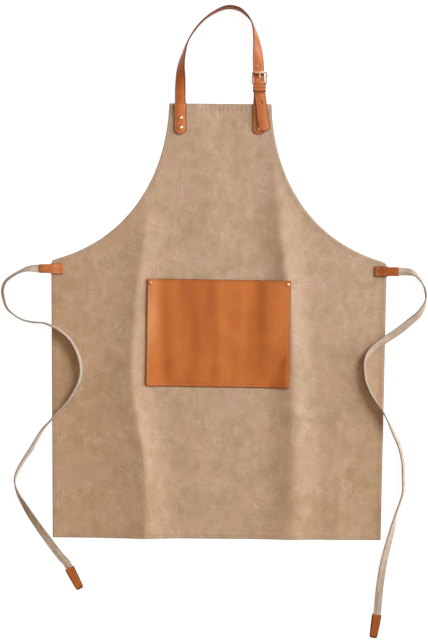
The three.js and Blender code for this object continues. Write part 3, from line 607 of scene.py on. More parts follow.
@dataclass(frozen=True)
class StrapLeather:
    """Bridle leather: full grain on the face, raw on the back, edges dyed.

    The eye gets a satin tan face with fine streaks along the strap, a dull brick-red back
    and a dark line along each edge.
    """

    name: str = "bridle_leather"
    light: str = "#C06E3A"
    dark: str = "#B05E2C"
    back: str = "#AC5F3E"
    edge: str = "#6A371C"
    gloss: float = 0.27
    streak: Vector = (0.03, 0.006, 0.5)
    grain: float = 0.0011

    def material(self) -> Material:
        """Streaks along the strap, the back's own colour, dark edges and a fine grain.

        Returns:
            The material.
        """
        material, add, shade = new_material(self.name)
        lay = add(CARRIED, output="Vector", attribute_name="lay")
        rim = add(SPLIT, {"Vector": lay}, "Z")
        under = add(CARRIED, output="Fac", attribute_name="back")
        long = add(VECTOR, {0: lay, 1: self.streak}, operation="DIVIDE")
        streak = add(NOISE, {"Vector": long, "Scale": 1.0, "Detail": 5.0})
        tone = add(RANGE, {"Value": streak, "From Min": 0.3, "From Max": 0.68})
        colour = linear(self.dark)
        for share, tint in ((tone, self.light), (under, self.back), (rim, self.edge)):
            colour = add(MIX, {"Factor": share, "A": colour, "B": linear(tint)}, data_type="RGBA")
        place = add(PLACE, output="Object")
        # Pores 0.4 mm apart are drawn 1.1 mm apart, so that they show from near
        grain = add(CELLS, {"Vector": place, "Scale": 1 / self.grain})
        bump = add(BUMP, {"Strength": 0.2, "Distance": 0.0003, "Height": grain})
        rough = add(RANGE, {"Value": under, "To Min": 0.42, "To Max": 0.75})
        shade({"Base Color": colour, "Roughness": rough, "Specular IOR Level": self.gloss, "Normal": bump})
        return material


@dataclass(frozen=True)
class Brass:
    """Brass: cast or drawn, polished and slightly dulled by handling.

    The eye gets pale gold highlights that turn coppery where the polish has gone.
    """

    name: str
    bright: str = "#F3CFA6"
    dull: str = "#D59A6A"
    roughness: float = 0.26
    rougher: float = 0.16
    spot: float = 0.004

    def material(self) -> Material:
        """Bright metal with patches of dulled colour a few millimetres wide.

        Returns:
            The material.
        """
        material, add, shade = new_material(self.name)
        place = add(PLACE, output="Object")
        spots = add(NOISE, {"Vector": place, "Scale": 1 / self.spot, "Detail": 4.0})
        tone = add(RANGE, {"Value": spots, "From Min": 0.42, "From Max": 0.66})
        tones = {"Factor": tone, "A": linear(self.bright), "B": linear(self.dull)}
        colour = add(MIX, tones, data_type="RGBA")
        polish = {"To Min": self.roughness, "To Max": self.roughness + self.rougher}
        rough = add(RANGE, {"Value": tone, **polish})
        shade({"Base Color": colour, "Roughness": rough, "Metallic": 1.0})
        return material


@dataclass(frozen=True)
class SewingThread:
    """Sewing thread: twisted polyester, waxed.

    The eye gets small raised dashes, a little lighter on the twist than between.
    """

    name: str
    light: str
    dark: str
    twist: float = 0.0008

    def material(self) -> Material:
        """Two tones that alternate at the pitch of the twist.

        Returns:
            The material.
        """
        material, add, shade = new_material(self.name)
        place = add(PLACE, output="Object")
        scale = 1 / (self.twist * BANDS_PER_UNIT)
        twist = add(WAVE, {"Vector": place, "Scale": scale}, bands_direction="DIAGONAL")
        tones = {"Factor": twist, "A": linear(self.dark), "B": linear(self.light)}
        shade({"Base Color": add(MIX, tones, data_type="RGBA"), "Roughness": 0.7})
        return material


# Camera and studio


@dataclass(frozen=True)
class PhotoCamera:
    """A camera that looks straight down on the apron, turned by half a degree."""

    place: Vector = (-0.00895, -0.0923, 2.7)
    turn_deg: float = 0.5
    frame_height: float = 1.248
    sensor_mm: float = 36.0

    def build(self) -> None:
        """Makes the camera whose view is frame_height tall on the floor."""
        lens = bpy.data.cameras.new("photo_camera")
        lens.sensor_width = self.sensor_mm
        lens.lens = self.sensor_mm * self.place[2] / self.frame_height
        camera = put("photo_camera", lens)
        camera.location = self.place
        camera.rotation_euler = (0.0, 0.0, math.radians(self.turn_deg))
        bpy.context.scene.camera = camera


@dataclass(frozen=True)
class Lamp:
    """A round softbox that points at the apron: its power, width and direction."""

    name: str
    watts: float
    width: float
    elevation_deg: float
    azimuth_deg: float
    colour: str = "#DEEEFF"
    distance: float = 8.0

    def build(self) -> None:
        """Makes the lamp at its distance, turned towards the origin."""
        light = bpy.data.lights.new(self.name, "AREA")
        light.shape, light.size, light.energy = "DISK", self.width, self.watts
        light.color = linear(self.colour)[:3]
        lamp = put(self.name, light)
        tilt, turn = math.radians(90.0 - self.elevation_deg), math.radians(self.azimuth_deg)
        flat = self.distance * math.sin(tilt)
        lamp.location = (flat * math.cos(turn), flat * math.sin(turn), self.distance * math.cos(tilt))
        lamp.rotation_euler = (0.0, tilt, turn)


@dataclass(frozen=True)
class Studio:
    """A pale floor lit from within, two cool soft lamps on the right and a warm sky."""

    half: float = 40.0
    floor_z: float = -0.0004
    floor_colour: str = "#7C7C7C"
    floor_glow: float = 0.9
    lamps: tuple[Lamp, ...] = (Lamp("key", 690.0, 3.8, 36.0, 38.0), Lamp("rake", 645.0, 4.0, 15.0, 0.0))
    sky_colour: str = "#FFECD6"
    sky_low: float = 0.30
    sky_high: float = 1.34

    def build(self) -> None:
        """Makes the floor, the lamps and the sky, brightest straight above."""
        mesh = bpy.data.meshes.new("floor")
        signs = ((-1, -1), (1, -1), (1, 1), (-1, 1))
        corners = [(x * self.half, y * self.half, self.floor_z) for x, y in signs]
        mesh.from_pydata(corners, [], [(0, 1, 2, 3)])
        floor = put("floor", mesh)
        material, _, shade = new_material("white_light_table")
        shade({"Base Color": linear(self.floor_colour), "Roughness": 1.0, "Specular IOR Level": 0.0})
        shade({"Emission Color": linear("#FFFFFF"), "Emission Strength": self.floor_glow})
        mesh.materials.append(material)
        for lamp in self.lamps:
            lamp.build()
        world = bpy.data.worlds.new("sky")
        world.use_nodes = True
        tree = world.node_tree
        way = add_node(tree, PLACE, output="Generated")
        up = add_node(tree, SPLIT, {"Vector": way}, "Z")
        brightness = {"To Min": self.sky_low, "To Max": self.sky_high}
        glow = add_node(tree, RANGE, {"Value": up, "From Min": 0.86, "From Max": 0.96, **brightness})
        fill(tree, tree.nodes["Background"], {"Color": linear(self.sky_colour), "Strength": glow})
        bpy.context.scene.world = world
        bpy.context.scene.view_settings.view_transform = "Standard"


# Straps

# Distances from a rounded end that get a place, as shares of its radius
END_STEPS = np.array([0.0, 0.03, 0.1, 0.2, 0.35, 0.5, 0.7, 0.85])


def strap_section(thick: float, edge: float, crown: float, lines: Rows) -> Section:
    """The outline of a strap across its length, face up.

    Each corner is a quarter circle of radius edge. The face rises by crown in the middle, and each
    line is a groove that runs beside both edges, or along the middle where its inset is 0.

    Args:
        thick: Thickness.
        edge: Radius of the corners.
        crown: Rise of the face.
        lines: Pairs of a groove's inset from the edge and its depth.

    Returns:
        For each corner of the outline: its edge (-1 or 1, and 0 for the middle), its distance from
        there and its height.
    """
    top, lip = thick / 2, 0.00045
    turn = np.linspace(0.0, math.pi / 2, 4)
    side = [(1.0, edge * math.cos(a) - edge, top - edge + edge * math.sin(a)) for a in turn]
    middle = [(0.0, 0.0, top + crown)]
    for inset, depth in lines:
        groove = [(-lip, 0.0), (0.0, depth), (lip, 0.0)]
        if inset > 0:
            side += [(1.0, -inset - step, top - sink) for step, sink in groove]
        else:
            middle = [(0.0, -step, top + crown - sink) for step, sink in groove]
    left = [(-sign, -away, up) for sign, away, up in reversed(side)]
    under_left = [(-1.0, edge - edge * math.cos(a), edge - top - edge * math.sin(a)) for a in turn]
    under_right = [(1.0, -away, up) for _, away, up in reversed(under_left)]
    outline = np.array(side + middle + left + under_left + [(0.0, 0.0, -top)] + under_right)
    return outline[:, 0], outline[:, 1], outline[:, 2]


@dataclass(frozen=True)
class StrapRun:
    """A strap's middle line with its directions, half width and distance at each place.

    Swell scales the thickness at each place, and line darkens the leather there.
    """

    centre: Array
    across: Array
    half: Array
    distance: Array
    swell: Array | float = 1.0
    line: Array | float = 0.0

    def skin(self, section: Section) -> Surface:
        """Carries a section along the run: centre + across * sideways + face * height.

        Args:
            section: The outline from strap_section.

        Returns:
            The strap, with its lay (distance, sideways, edge) and its back.
        """
        along = unit(np.gradient(self.centre, axis=0))
        face = unit(np.cross(self.across, along))
        across = np.cross(along, face)
        sign, away, height = section
        swell, line = (np.broadcast_to(term, len(along))[:, None] for term in (self.swell, self.line))
        sideways = sign * self.half[:, None] + away
        rings = self.centre[:, None, :] + across[:, None, :] * sideways[..., None]
        rings = rings + face[:, None, :] * (height * swell)[..., None]
        rim = np.where(sign == 0.0, 0.0, 1.0 - smoothstep(np.abs(away), 0.0002, 0.0014))
        lay = stacked(self.distance[:, None], sideways, np.maximum(rim, line))
        back = np.broadcast_to((height < 0.0).astype(float), sideways.shape)
        return tube(rings, values={"lay": lay, "back": back})


def rounded_half(half: Array | float, radius: float, distance: Array) -> Array:
    """Half width at a distance from an end whose corners are rounded."""
    short = np.maximum(radius - distance, 0.0)
    return half - radius + np.sqrt(radius**2 - short**2)


def laid_run(
    rows: Rows,
    width: Array | float,
    thick: float,
    spacing: float,
    rounds: tuple[float, float] = (0.0, 0.0),
    extra: tuple[float, ...] = (),
) -> StrapRun:
    """The run of a strap that lies flat or stands on its edge.

    The middle line rises over its resting edge by (width * sin(roll) + thickness * cos(roll)) / 2,
    and the direction across turns from level to upright by roll.

    Args:
        rows: x, y, roll and rest for each bend; rest is the lowest edge's height.
        width: The strap's width, or its width at each row.
        thick: The strap's thickness.
        spacing: Distance between places.
        rounds: Radius of the corners at the start and at the end.
        extra: More distances that get a place.

    Returns:
        The run.
    """
    per_gap = 24
    line = smooth_line(np.array(rows)[:, [0, 1, 3, 2]] * (MM, MM, MM, 1.0), per_gap)
    lengths = run_length(line[:, :3])
    whole = lengths[-1]
    even = np.linspace(0.0, whole, round(whole / spacing) + 1)
    ends = [END_STEPS * rounds[0], whole - END_STEPS * rounds[1]]
    distance = np.unique(np.concatenate([even, *ends, extra]))
    places = at_distances(distance, lengths, line)
    roll = np.radians(places[:, 3])
    width = np.interp(distance, lengths[::per_gap], np.broadcast_to(width, len(rows)))
    along = unit(np.gradient(places[:, :3], distance, axis=0))
    level = unit(stacked(along[:, 1], -along[:, 0], 0.0))
    across = level * np.cos(roll)[:, None] + UP * np.sin(roll)[:, None]
    rise = (width * np.abs(np.sin(roll)) + thick * np.abs(np.cos(roll))) / 2
    half = rounded_half(width / 2, rounds[0], distance)
    half = np.minimum(half, rounded_half(width / 2, rounds[1], whole - distance))
    return StrapRun(places[:, :3] + UP * rise[:, None], across, half, distance)


def upright(x: float, y: float, half_x: float, half_y: float) -> Surface:
    """An upright oval cutter that reaches through every layer."""
    turn, ends = full_turn(24), np.array([[-0.01], [0.04]])
    return tube(stacked(x + half_x * np.cos(turn), y + half_y * np.sin(turn), ends))


def oval_rings(rows: Array, power: float, corners: int = 36) -> Array:
    """Rings along X whose outline is a rounded box: |y/half|^power + |z/height|^power = 1.

    Args:
        rows: x, half width, lowest and highest height for each ring.
        power: How square the outline is.
        corners: Points in a ring.

    Returns:
        Points by ring, corner and axis.
    """
    wide, tall = squarish(full_turn(corners), power)
    x, half, low, high = (column[:, None] for column in rows.T)
    return stacked(x, half * wide, (low + high) / 2 + (high - low) / 2 * tall)


def loft_values(rings: Array, rim: Array) -> dict[str, Array]:
    """Strap values for a loft along X: its lay (x, y, edge) and no back."""
    return {"lay": stacked(rings[..., 0], rings[..., 1], rim), "back": np.zeros(rings.shape[:2])}


# Stitches


@dataclass(frozen=True)
class Seam:
    """A row of stitches: each a short raised dash that dips into the cloth at both ends."""

    pitch: float = 0.0036
    length: float = 0.0026
    width: float = 0.0008
    rise: float = 0.0005

    def surface(self, lines: list[Array]) -> Surface:
        """Dashes at even steps along lines.

        A dash is a tube along t from -1 to 1 whose section shrinks as the square root of
        1 - t^4 and sinks by t^2.

        Args:
            lines: Lines of points on the cloth.

        Returns:
            All the dashes as one surface.
        """
        middles, ways = [], []
        for line in lines:
            lengths = run_length(line)
            count = max(int(lengths[-1] / self.pitch), 1)
            steps = (np.arange(count) + 0.5) * lengths[-1] / count
            middles.append(at_distances(steps, lengths, line))
            ahead, behind = (at_distances(steps + s * self.length / 2, lengths, line) for s in (1, -1))
            ways.append(unit(ahead - behind))
        middle, way = np.vstack(middles), np.vstack(ways)
        across = unit(np.cross(np.broadcast_to(UP, way.shape), way))
        t = np.linspace(-1.0, 1.0, 5)[None, :, None, None] * 0.97
        turn = full_turn(6)[None, None, :, None]
        swell = np.sqrt(1.0 - t**4)
        place, way, across = (term[:, None, None, :] for term in (middle, way, across))
        height = self.rise * (swell * np.sin(turn) - 0.9 * t**2)
        points = place + way * t * self.length / 2
        points = points + across * swell * np.cos(turn) * self.width / 2 + UP * height
        dash = tube(points[0])
        first = (np.arange(len(middle)) * len(dash.points))[:, None, None]
        faces = []
        for corners in {len(face) for face in dash.faces}:
            same = np.array([face for face in dash.faces if len(face) == corners])
            faces += (same[None] + first).reshape(-1, corners).tolist()
        return Surface(points.reshape(-1, 3), faces)


# The apron's own pieces


@dataclass(frozen=True)
class Fold:
    """A long soft fold in the canvas.

    Each row of its crest, from the top down, gives y, x, height, reach to the left, reach to the
    right and how round the crest is there.
    """

    crest: Rows

    def height(self, x: Array, y: Array) -> Array:
        """Crest height * (1 - away / reach)^2, with away rounded off near the crest line.

        Args:
            x: Places across.
            y: Places along.

        Returns:
            The fold's share of the canvas's height.
        """
        line = smooth_line(np.array(self.crest) * MM, 12)[::-1]
        at, crest, left, right, soft = (np.interp(y, line[:, 0], line[:, i]) for i in range(1, 6))
        aside = x - at
        away = np.sqrt(aside**2 + soft**2) - soft
        return np.maximum(crest, 0.0) * ebb(away, np.where(aside < 0.0, left, right))


@dataclass(frozen=True)
class ClothLay:
    """How the canvas lies: the height of its underside over the floor.

    Each lift gives a place, the reach of its flat top, its whole reach and its rise.
    """

    folds: tuple[Fold, ...] = (
        Fold((
            (190, -140, 0, 80, 50, 4), (93, -143, 3.8, 80, 50, 4), (-20, -157, 3.7, 54, 50, 4),
            (-120, -166, 4, 54, 52, 4), (-219, -167, 7.5, 95, 62, 4), (-300, -154, 9.5, 125, 58, 4),
            (-385, -140, 9.8, 120, 54, 4), (-518.5, -139, 8.8, 130, 70, 4),
        )),
        Fold((
            (120, -142, 0, 100, 45, 4), (-20, -157, 4.2, 115, 50, 4), (-120, -166, 4.5, 115, 52, 4),
            (-219, -167, 3, 115, 55, 4), (-300, -154, 2.6, 140, 54, 4), (-385, -140, 2.8, 170, 54, 4),
            (-518.5, -139, 2.6, 170, 70, 4),
        )),
        Fold((
            (285, 100, 0, 30, 40, 6), (200, 108, 3, 40, 50, 8), (93, 119, 7, 44, 50, 8),
            (-10, 131, 8.6, 40, 46, 6), (-110, 142, 8.5, 42, 40, 6), (-230, 146.5, 8.8, 42, 45, 10),
            (-350, 149, 9.2, 46, 46, 16), (-450, 148, 8.6, 56, 44, 18), (-518.5, 142, 7.2, 62, 42, 18),
        )),
        Fold((
            (265, -22, 0, 40, 60, 10), (190, -23, 1.2, 45, 70, 12), (100, -22, 1.8, 50, 70, 12),
            (25, -30, 0, 50, 70, 12),
        )),
        Fold((
            (-400, 236, 0, 50, 40, 6), (-460, 236, 1.3, 45, 40, 6), (-518.5, 236, 2.4, 45, 40, 6),
        )),
    )
    lifts: Rows = (
        (-0.0772, 0.29125, 0.038, 0.080, 0.0011),
        (0.0762, 0.28975, 0.038, 0.080, 0.0011),
    )
    ripple: float = 0.0006
    ripple_waves: int = 7
    ripple_lengths: tuple[float, float] = (0.05, 0.13)
    ripple_seed: int = 11

    def ripples(self, x: Array, y: Array) -> Array:
        """Low waves in seeded directions, from 0 to 1, that die out towards the hips.

        Args:
            x: Places across.
            y: Places along.

        Returns:
            Their height as a share.
        """
        draw = np.random.default_rng(self.ripple_seed)
        total = np.zeros_like(x)
        for _ in range(self.ripple_waves):
            turn, phase = draw.uniform(0.0, 2 * math.pi, 2)
            number = 2 * math.pi / draw.uniform(*self.ripple_lengths)
            total = total + np.sin(number * (x * math.cos(turn) + 0.55 * y * math.sin(turn)) + phase)
        calm = 1.0 - smoothstep(np.abs(x), 0.24, 0.295)
        return (0.5 + 0.5 * total / self.ripple_waves) * calm

    def height(self, x: Array, y: Array) -> Array:
        """Sum of the folds, of lifts under the neck tabs and of ripples.

        Args:
            x: Places across.
            y: Places along.

        Returns:
            Heights of the canvas's underside.
        """
        total = self.ripple * self.ripples(x, y)
        for fold in self.folds:
            total = total + fold.height(x, y)
        for lift_x, lift_y, inner, outer, rise in self.lifts:
            away = np.hypot(x - lift_x, y - lift_y)
            total = total + rise * (1.0 - smoothstep(away, inner, outer))
        return total


@dataclass(frozen=True)
class Panel:
    """The canvas front in one piece, bib and skirt, with a hem all round."""

    lay: ClothLay
    top: float = 0.329
    waist: float = 0.0215
    bottom: float = -0.5185
    bib_half: float = 0.0995
    waist_half: float = 0.327
    hem_half: float = 0.3195
    armhole: tuple[float, ...] = (0.148, 0.004, 0.146, 0.037)
    flat_area: float = 0.446
    cloth: float = 0.0012
    hem_cloth: float = 0.0016
    hem_width: float = 0.006
    hem_end: float = 0.013
    fold_width: float = 0.0012
    fold_drop: float = 0.0007
    fold_lift: float = 0.0004
    seam_inset: float = 0.0066
    seam_depth: float = 0.00025
    seam_width: float = 0.0009
    seam_shade: float = 0.22
    top_seam_inset: float = 0.0105
    row_end: float = 0.006
    bib_level: float = 0.03
    hip_round: float = 0.0022
    hip_reach: float = 0.012
    hip_crowd: float = 0.045
    pucker: float = 0.00075
    pucker_pitch: float = 0.0092
    inner_columns: int = 150
    row_spacing: float = 0.0041
    marks: tuple[float, ...] = (
        0.0, 0.0006, 0.0018, 0.0036, 0.0056, 0.0066, 0.0076, 0.009, 0.0105, 0.0118, 0.013,
    )

    def outline(self) -> Array:
        """The right-hand edge from the bib's corner to the hem, and the hem's inner line beside it.

        The armhole is a cubic Bezier curve and the side a straight line. The inner line is the edge
        moved in by the hem, and its places crowd together beside the hip so that none cross.

        Returns:
            For each row: edge x and y, then inner x and y.
        """
        fall, flare, run, rise = self.armhole
        ends = np.array([
            (self.bib_half, self.top),
            (self.bib_half + flare, self.top - fall),
            (self.waist_half - run, self.waist + rise),
            (self.waist_half, self.waist),
        ])
        t = np.linspace(0.0, 1.0, 2001)[:, None]
        weights = np.hstack([(1 - t) ** 3, 3 * t * (1 - t) ** 2, 3 * t**2 * (1 - t), t**3])
        side = np.linspace(ends[3], (self.hem_half, self.bottom), 2001)
        return np.vstack([self._beside(weights @ ends, True), self._beside(side, False)])

    def _beside(self, line: Array, leads_to_hip: bool) -> Array:
        """Edge and inner places along one stretch of the outline.

        Args:
            line: Fine points of the stretch.
            leads_to_hip: Whether the hip is at its end, or else at its start.

        Returns:
            For each row: edge x and y, then inner x and y.
        """
        marks, lengths = np.array(self.marks), run_length(line)
        whole = lengths[-1]
        rows = round((whole - marks[-1]) / self.row_spacing)
        if leads_to_hip:
            distance = np.concatenate([marks[:-1], np.linspace(marks[-1], whole, rows)])
        else:
            distance = np.concatenate([np.linspace(0.0, whole - marks[-1], rows)[1:], whole - marks[-2::-1]])
        to_hip = whole - distance if leads_to_hip else distance
        # Half the corner's turn sets how far the two inner lines shorten to meet at the hip
        corner_turn = math.atan2(self.armhole[3], self.armhole[2])
        short = self.hem_end * math.tan((math.pi / 2 - corner_turn) / 2)
        crowded = short + to_hip * (1 - short / self.hip_crowd)
        beside = np.where(to_hip < self.hip_crowd, crowded, to_hip)
        at_inner = whole - beside if leads_to_hip else beside
        inward = np.array([-1.0, 0.0])
        if leads_to_hip:
            way = unit(np.gradient(line, axis=0))
            turned = at_distances(at_inner, lengths, stacked(way[:, 1], -way[:, 0]))
            level = 1.0 - smoothstep(distance, 0.0, self.bib_level)[:, None]
            inward = unit(turned * (1 - level) + inward * level)
        inner = at_distances(at_inner, lengths, line) + self.hem_end * inward
        edge = at_distances(distance, lengths, line)
        pull = self.hip_round * ebb(to_hip, self.hip_reach)
        return np.hstack([edge + unit(inner - edge) * pull[:, None], inner])

    def thickness(self, depth: Array) -> Array:
        """Cloth by its depth in from the edge: the hem's layers, its rounded fold and its seam.

        Args:
            depth: Distances in from the edge.

        Returns:
            Thickness at each place.
        """
        hem = (self.hem_cloth - self.cloth) * (1.0 - smoothstep(depth, self.hem_width, self.hem_end))
        seam = self.seam_depth * bell(depth, self.seam_inset, self.seam_width)
        return self.cloth + hem - self.fold_drop * ebb(depth, self.fold_width) - seam

    def puckers(self, x: Array, below_top: Array) -> Array:
        """Small gathers along the bib's top seam: a cosine across of uneven pitch and depth, fainter left.

        Args:
            x: Places across.
            below_top: Distances down from the top edge.

        Returns:
            What they add to the height.
        """
        gather = 0.5 + 0.5 * np.cos(2 * math.pi * x / self.pucker_pitch + 2.0 * np.sin(x / 0.03))
        deep = self.pucker * (0.3 + 0.7 * smoothstep(x, -0.06, 0.02)) * (0.7 + 0.3 * np.sin(x / 0.0065))
        return deep * gather * bell(below_top, self.top_seam_inset, 0.0045)

    def on_hem(self, line: Array) -> Array:
        """A line of places raised to the top of the hem.

        Args:
            line: Its places x and y.

        Returns:
            Its points.
        """
        x, y = line.T
        height = self.lay.height(x, y) + self.hem_cloth + self.puckers(x, self.top - y)
        return np.column_stack([line, height - 0.0001])

    def build(self, canvas: Material, thread: Material) -> None:
        """Makes the panel as a wall over rows between its two edges, and sews its hem.

        Args:
            canvas: The panel's finish.
            thread: The stitches' finish.
        """
        rows, marks = self.outline(), np.array(self.marks)
        edge, inner = rows[:, None, :2], rows[:, None, 2:]
        right = edge + (inner - edge) * (marks / self.hem_end)[None, :, None]
        across = np.linspace(-1.0, 1.0, self.inner_columns + 1)[None, 1:-1, None]
        between = inner * np.concatenate([across, np.ones_like(across)], axis=2)
        grid = np.concatenate([right * MIRROR, between, right[:, ::-1]], axis=1)
        x, y = grid[..., 0], grid[..., 1]
        from_side = np.concatenate([marks, np.ones(between.shape[1]), marks[::-1]])
        depth = np.minimum(np.minimum(self.top - y, y - self.bottom), from_side)
        depth = np.maximum(depth, 0.0)
        low = self.lay.height(x, y)
        high = low + self.thickness(depth) + self.puckers(x, self.top - y)
        low = low + self.fold_lift * ebb(depth, self.fold_width)
        # Darker along the very edge, and painted shade along the hem's seam line
        line = self.seam_shade * bell(depth, self.seam_inset, 0.001)
        values = {"edge": np.maximum(1.0 - smoothstep(depth, 0.0002, 0.002), line)}
        piece = make_mesh("canvas_panel", sheet(x, y, low, high, values), 50.0)
        dress(piece, canvas, Slot.CANVAS, "panel")
        seam = rows[:, :2] + (rows[:, 2:] - rows[:, :2]) * (self.seam_inset / self.hem_end)
        seam = seam[(seam[:, 1] < self.top - 0.004) & (seam[:, 1] > self.bottom + self.seam_inset)]
        lines = [seam, seam * MIRROR]
        for half, level, places in (
            (self.bib_half - self.row_end, self.top - self.top_seam_inset, 160),
            (self.hem_half - self.row_end, self.bottom + self.seam_inset, 300),
        ):
            lines.append(stacked(np.linspace(-half, half, places), level))
        surface = Seam().surface([self.on_hem(line) for line in lines])
        stitches = dress(make_mesh("hem_stitches", surface, 60.0), thread, Slot.CANVAS)


@dataclass(frozen=True)
class Pocket:
    """The leather pocket: sewn on three sides, riveted at its upper corners, open at the top.

    Bridge gives the rise over the right fold and where it starts and ends. Each wave gives its
    size, length and phase.
    """

    lay: ClothLay
    half: float = 0.1395
    top: float = -0.0137
    bottom: float = -0.2229
    turn_deg: float = -0.4
    corner: float = 0.0045
    leather: float = 0.002
    gape: float = 0.0022
    bridge: Vector = (0.0100, 0.046, 0.124)
    bridge_fade: float = 0.09
    over_cloth: float = 0.00165
    fold_reach: float = 0.008
    seam_inset: float = 0.0046
    seam_end: float = 0.016
    crease_inset: float = 0.0042
    rivet_inset: tuple[float, float] = (0.0062, 0.0078)
    margin: float = 0.009
    spacing: float = 0.0024
    waves: Rows = ((0.00034, 0.047, 1.8), (0.00012, 0.031, 2.9))
    wave_inset: float = 0.03

    def turned(self, x: Array, y: Array) -> tuple[Array, Array]:
        """Places on the straight pocket, turned with it about its middle.

        Args:
            x: Places across.
            y: Places along.

        Returns:
            The turned places.
        """
        turn, middle = math.radians(self.turn_deg), (self.top + self.bottom) / 2
        side, up = math.cos(turn), math.sin(turn)
        return x * side - (y - middle) * up, middle + x * up + (y - middle) * side

    def underside(self, x: Array, y: Array) -> Array:
        """Clears the canvas's folds, bridges the right one, gapes towards the mouth and waves.

        Args:
            x: Places across, on the straight pocket.
            y: Places along, on the straight pocket.

        Returns:
            Heights of the pocket's underside.
        """
        reach, above = self.fold_reach, y - self.bottom
        over_x, over_y = self.turned(x, y)
        folds = np.maximum.reduce([self.lay.height(over_x + step, over_y) for step in (-reach, 0.0, reach)])
        rise, start, end = self.bridge
        folds = np.maximum(folds, rise * smoothstep(x, start, end) * smoothstep(above, 0.0, self.bridge_fade))
        up = np.maximum(above / (self.top - self.bottom), 0.0)
        gape = self.gape * (1.0 - (x / self.half) ** 2) ** 2 * up**0.8
        inside = smoothstep(np.minimum(self.half - np.abs(x), above), 0.0, self.wave_inset)
        wave = sum(
            size * (1.0 + np.sin(2 * math.pi * (x + 0.05 * y) / length + phase))
            for size, length, phase in self.waves
        )
        return folds + self.over_cloth + gape + wave * inside

    def build(self, leather: Material, thread: Material) -> None:
        """Makes the pocket as a wall over an even grid with its seam and crease, and sews it.

        Args:
            leather: The pocket's finish.
            thread: The stitches' finish.
        """
        fine, groove = np.array([0.0, 0.0003, 0.0009, 0.0018]), np.array([-0.0008, 0.0, 0.0008])
        inset = np.concatenate([fine, self.seam_inset + groove])
        mouth = np.concatenate([fine, self.crease_inset + groove])
        size = (2 * self.half, self.top - self.bottom)
        columns, rows = (
            np.concatenate([
                start,
                np.linspace(self.margin, whole - self.margin, round(whole / self.spacing)),
                (whole - inset)[::-1],
            ])
            for start, whole in zip((inset, mouth), size)
        )
        columns = columns - self.half
        x, y = np.meshgrid(columns, self.top - rows)
        x = x / self.half * rounded_half(self.half, self.corner, y - self.bottom)
        low, below_top = self.underside(x, y), self.top - y
        to_side = np.minimum(self.half - np.abs(columns)[None, :], y - self.bottom)
        to_edge = np.minimum(to_side, below_top)
        seam = 0.0002 * bell(to_side, self.seam_inset, 0.0007) * (below_top > self.crease_inset)
        crease = 0.0003 * bell(below_top, self.crease_inset, 0.0007)
        fold = 0.0006 * ebb(to_edge, 0.0014)
        high = low + self.leather - seam - crease - fold
        line = 0.25 * bell(below_top, self.crease_inset, 0.0008)
        # Painted sheen: a pale patch near the left edge, where the leather's soft highlight shows
        painted_sheen = bell(x, -self.half + 0.008, 0.013) * bell(y, -0.088, 0.055)
        values = {"edge": np.maximum(1.0 - smoothstep(to_edge, 0.0003, 0.0017), line), "painted_sheen": painted_sheen}
        piece = make_mesh("leather_pocket", sheet(*self.turned(x, y), low + fold, high, values), 50.0)
        dress(piece, leather, Slot.POCKET_LEATHER, "pocket")
        side, foot = self.half - self.seam_inset, self.bottom + self.seam_inset
        start = self.top - self.seam_end
        corners = np.array([(-side, start), (-side, foot), (side, foot), (side, start)])
        lengths = run_length(corners)
        x, y = at_distances(np.linspace(0.0, lengths[-1], 400), lengths, corners).T
        line = np.column_stack([*self.turned(x, y), self.underside(x, y) + self.leather - 0.0002])
        stitches = make_mesh("pocket_stitches", Seam().surface([line]), 60.0)
        dress(stitches, thread, Slot.POCKET_LEATHER)


@dataclass(frozen=True)
class Rivet:
    """A domed rivet: its place, what it sits on and its sizes."""

    node: str
    x: float
    y: float
    seat: float
    back_top: float
    cap: float = 0.0042
    dome: float = 0.0017
    stem: float = 0.0016
    back: float = 0.0035
    back_thick: float = 0.0007

    def build(self, brass: Material) -> None:
        """Turns a profile of back, stem, rolled rim and dome about the upright axis.

        Args:
            brass: The finish.
        """
        foot = self.back_top - self.back_thick
        turn = np.linspace(0.0, math.pi / 2, 12)[:-1]
        dome = stacked(self.cap * 0.97 * np.cos(turn), self.seat + self.dome * (0.3 + 0.7 * np.sin(turn)))
        below = [
            (self.back * 0.1, foot),
            (self.back * 0.92, foot),
            (self.back, foot + self.back_thick * 0.4),
            (self.back * 0.96, self.back_top),
            (self.stem, self.back_top),
            (self.stem, self.seat),
            (self.cap * 0.94, self.seat),
            (self.cap, self.seat + self.dome * 0.12),
        ]
        profile = np.vstack([below, dome, [(self.cap * 0.02, self.seat + self.dome)]])
        radius, height = profile[:, :1], profile[:, 1:]
        around = full_turn(40)
        rings = stacked(self.x + radius * np.cos(around), self.y + radius * np.sin(around), height)
        dress(make_mesh(f"brass_{self.node}", tube(rings), 40.0), brass, Slot.BRASS, self.node)


TAB_REST = 0.0029
STRAP_WIDTH = 0.021
TAB_WIDTH = 0.0235
STRAP_THICK = 0.0026
SHORT_STRAP_THICK = 0.0024
# Radius of a strap's edges, rise of its face and the line pressed beside each edge
STRAP_EDGE = (0.0006, 0.0001, ((0.0022, 0.0002),))
HINGE = (0.0754, 0.3681, 0.0064)
BAR_Y, BAR_Z = 0.3897, 0.0088


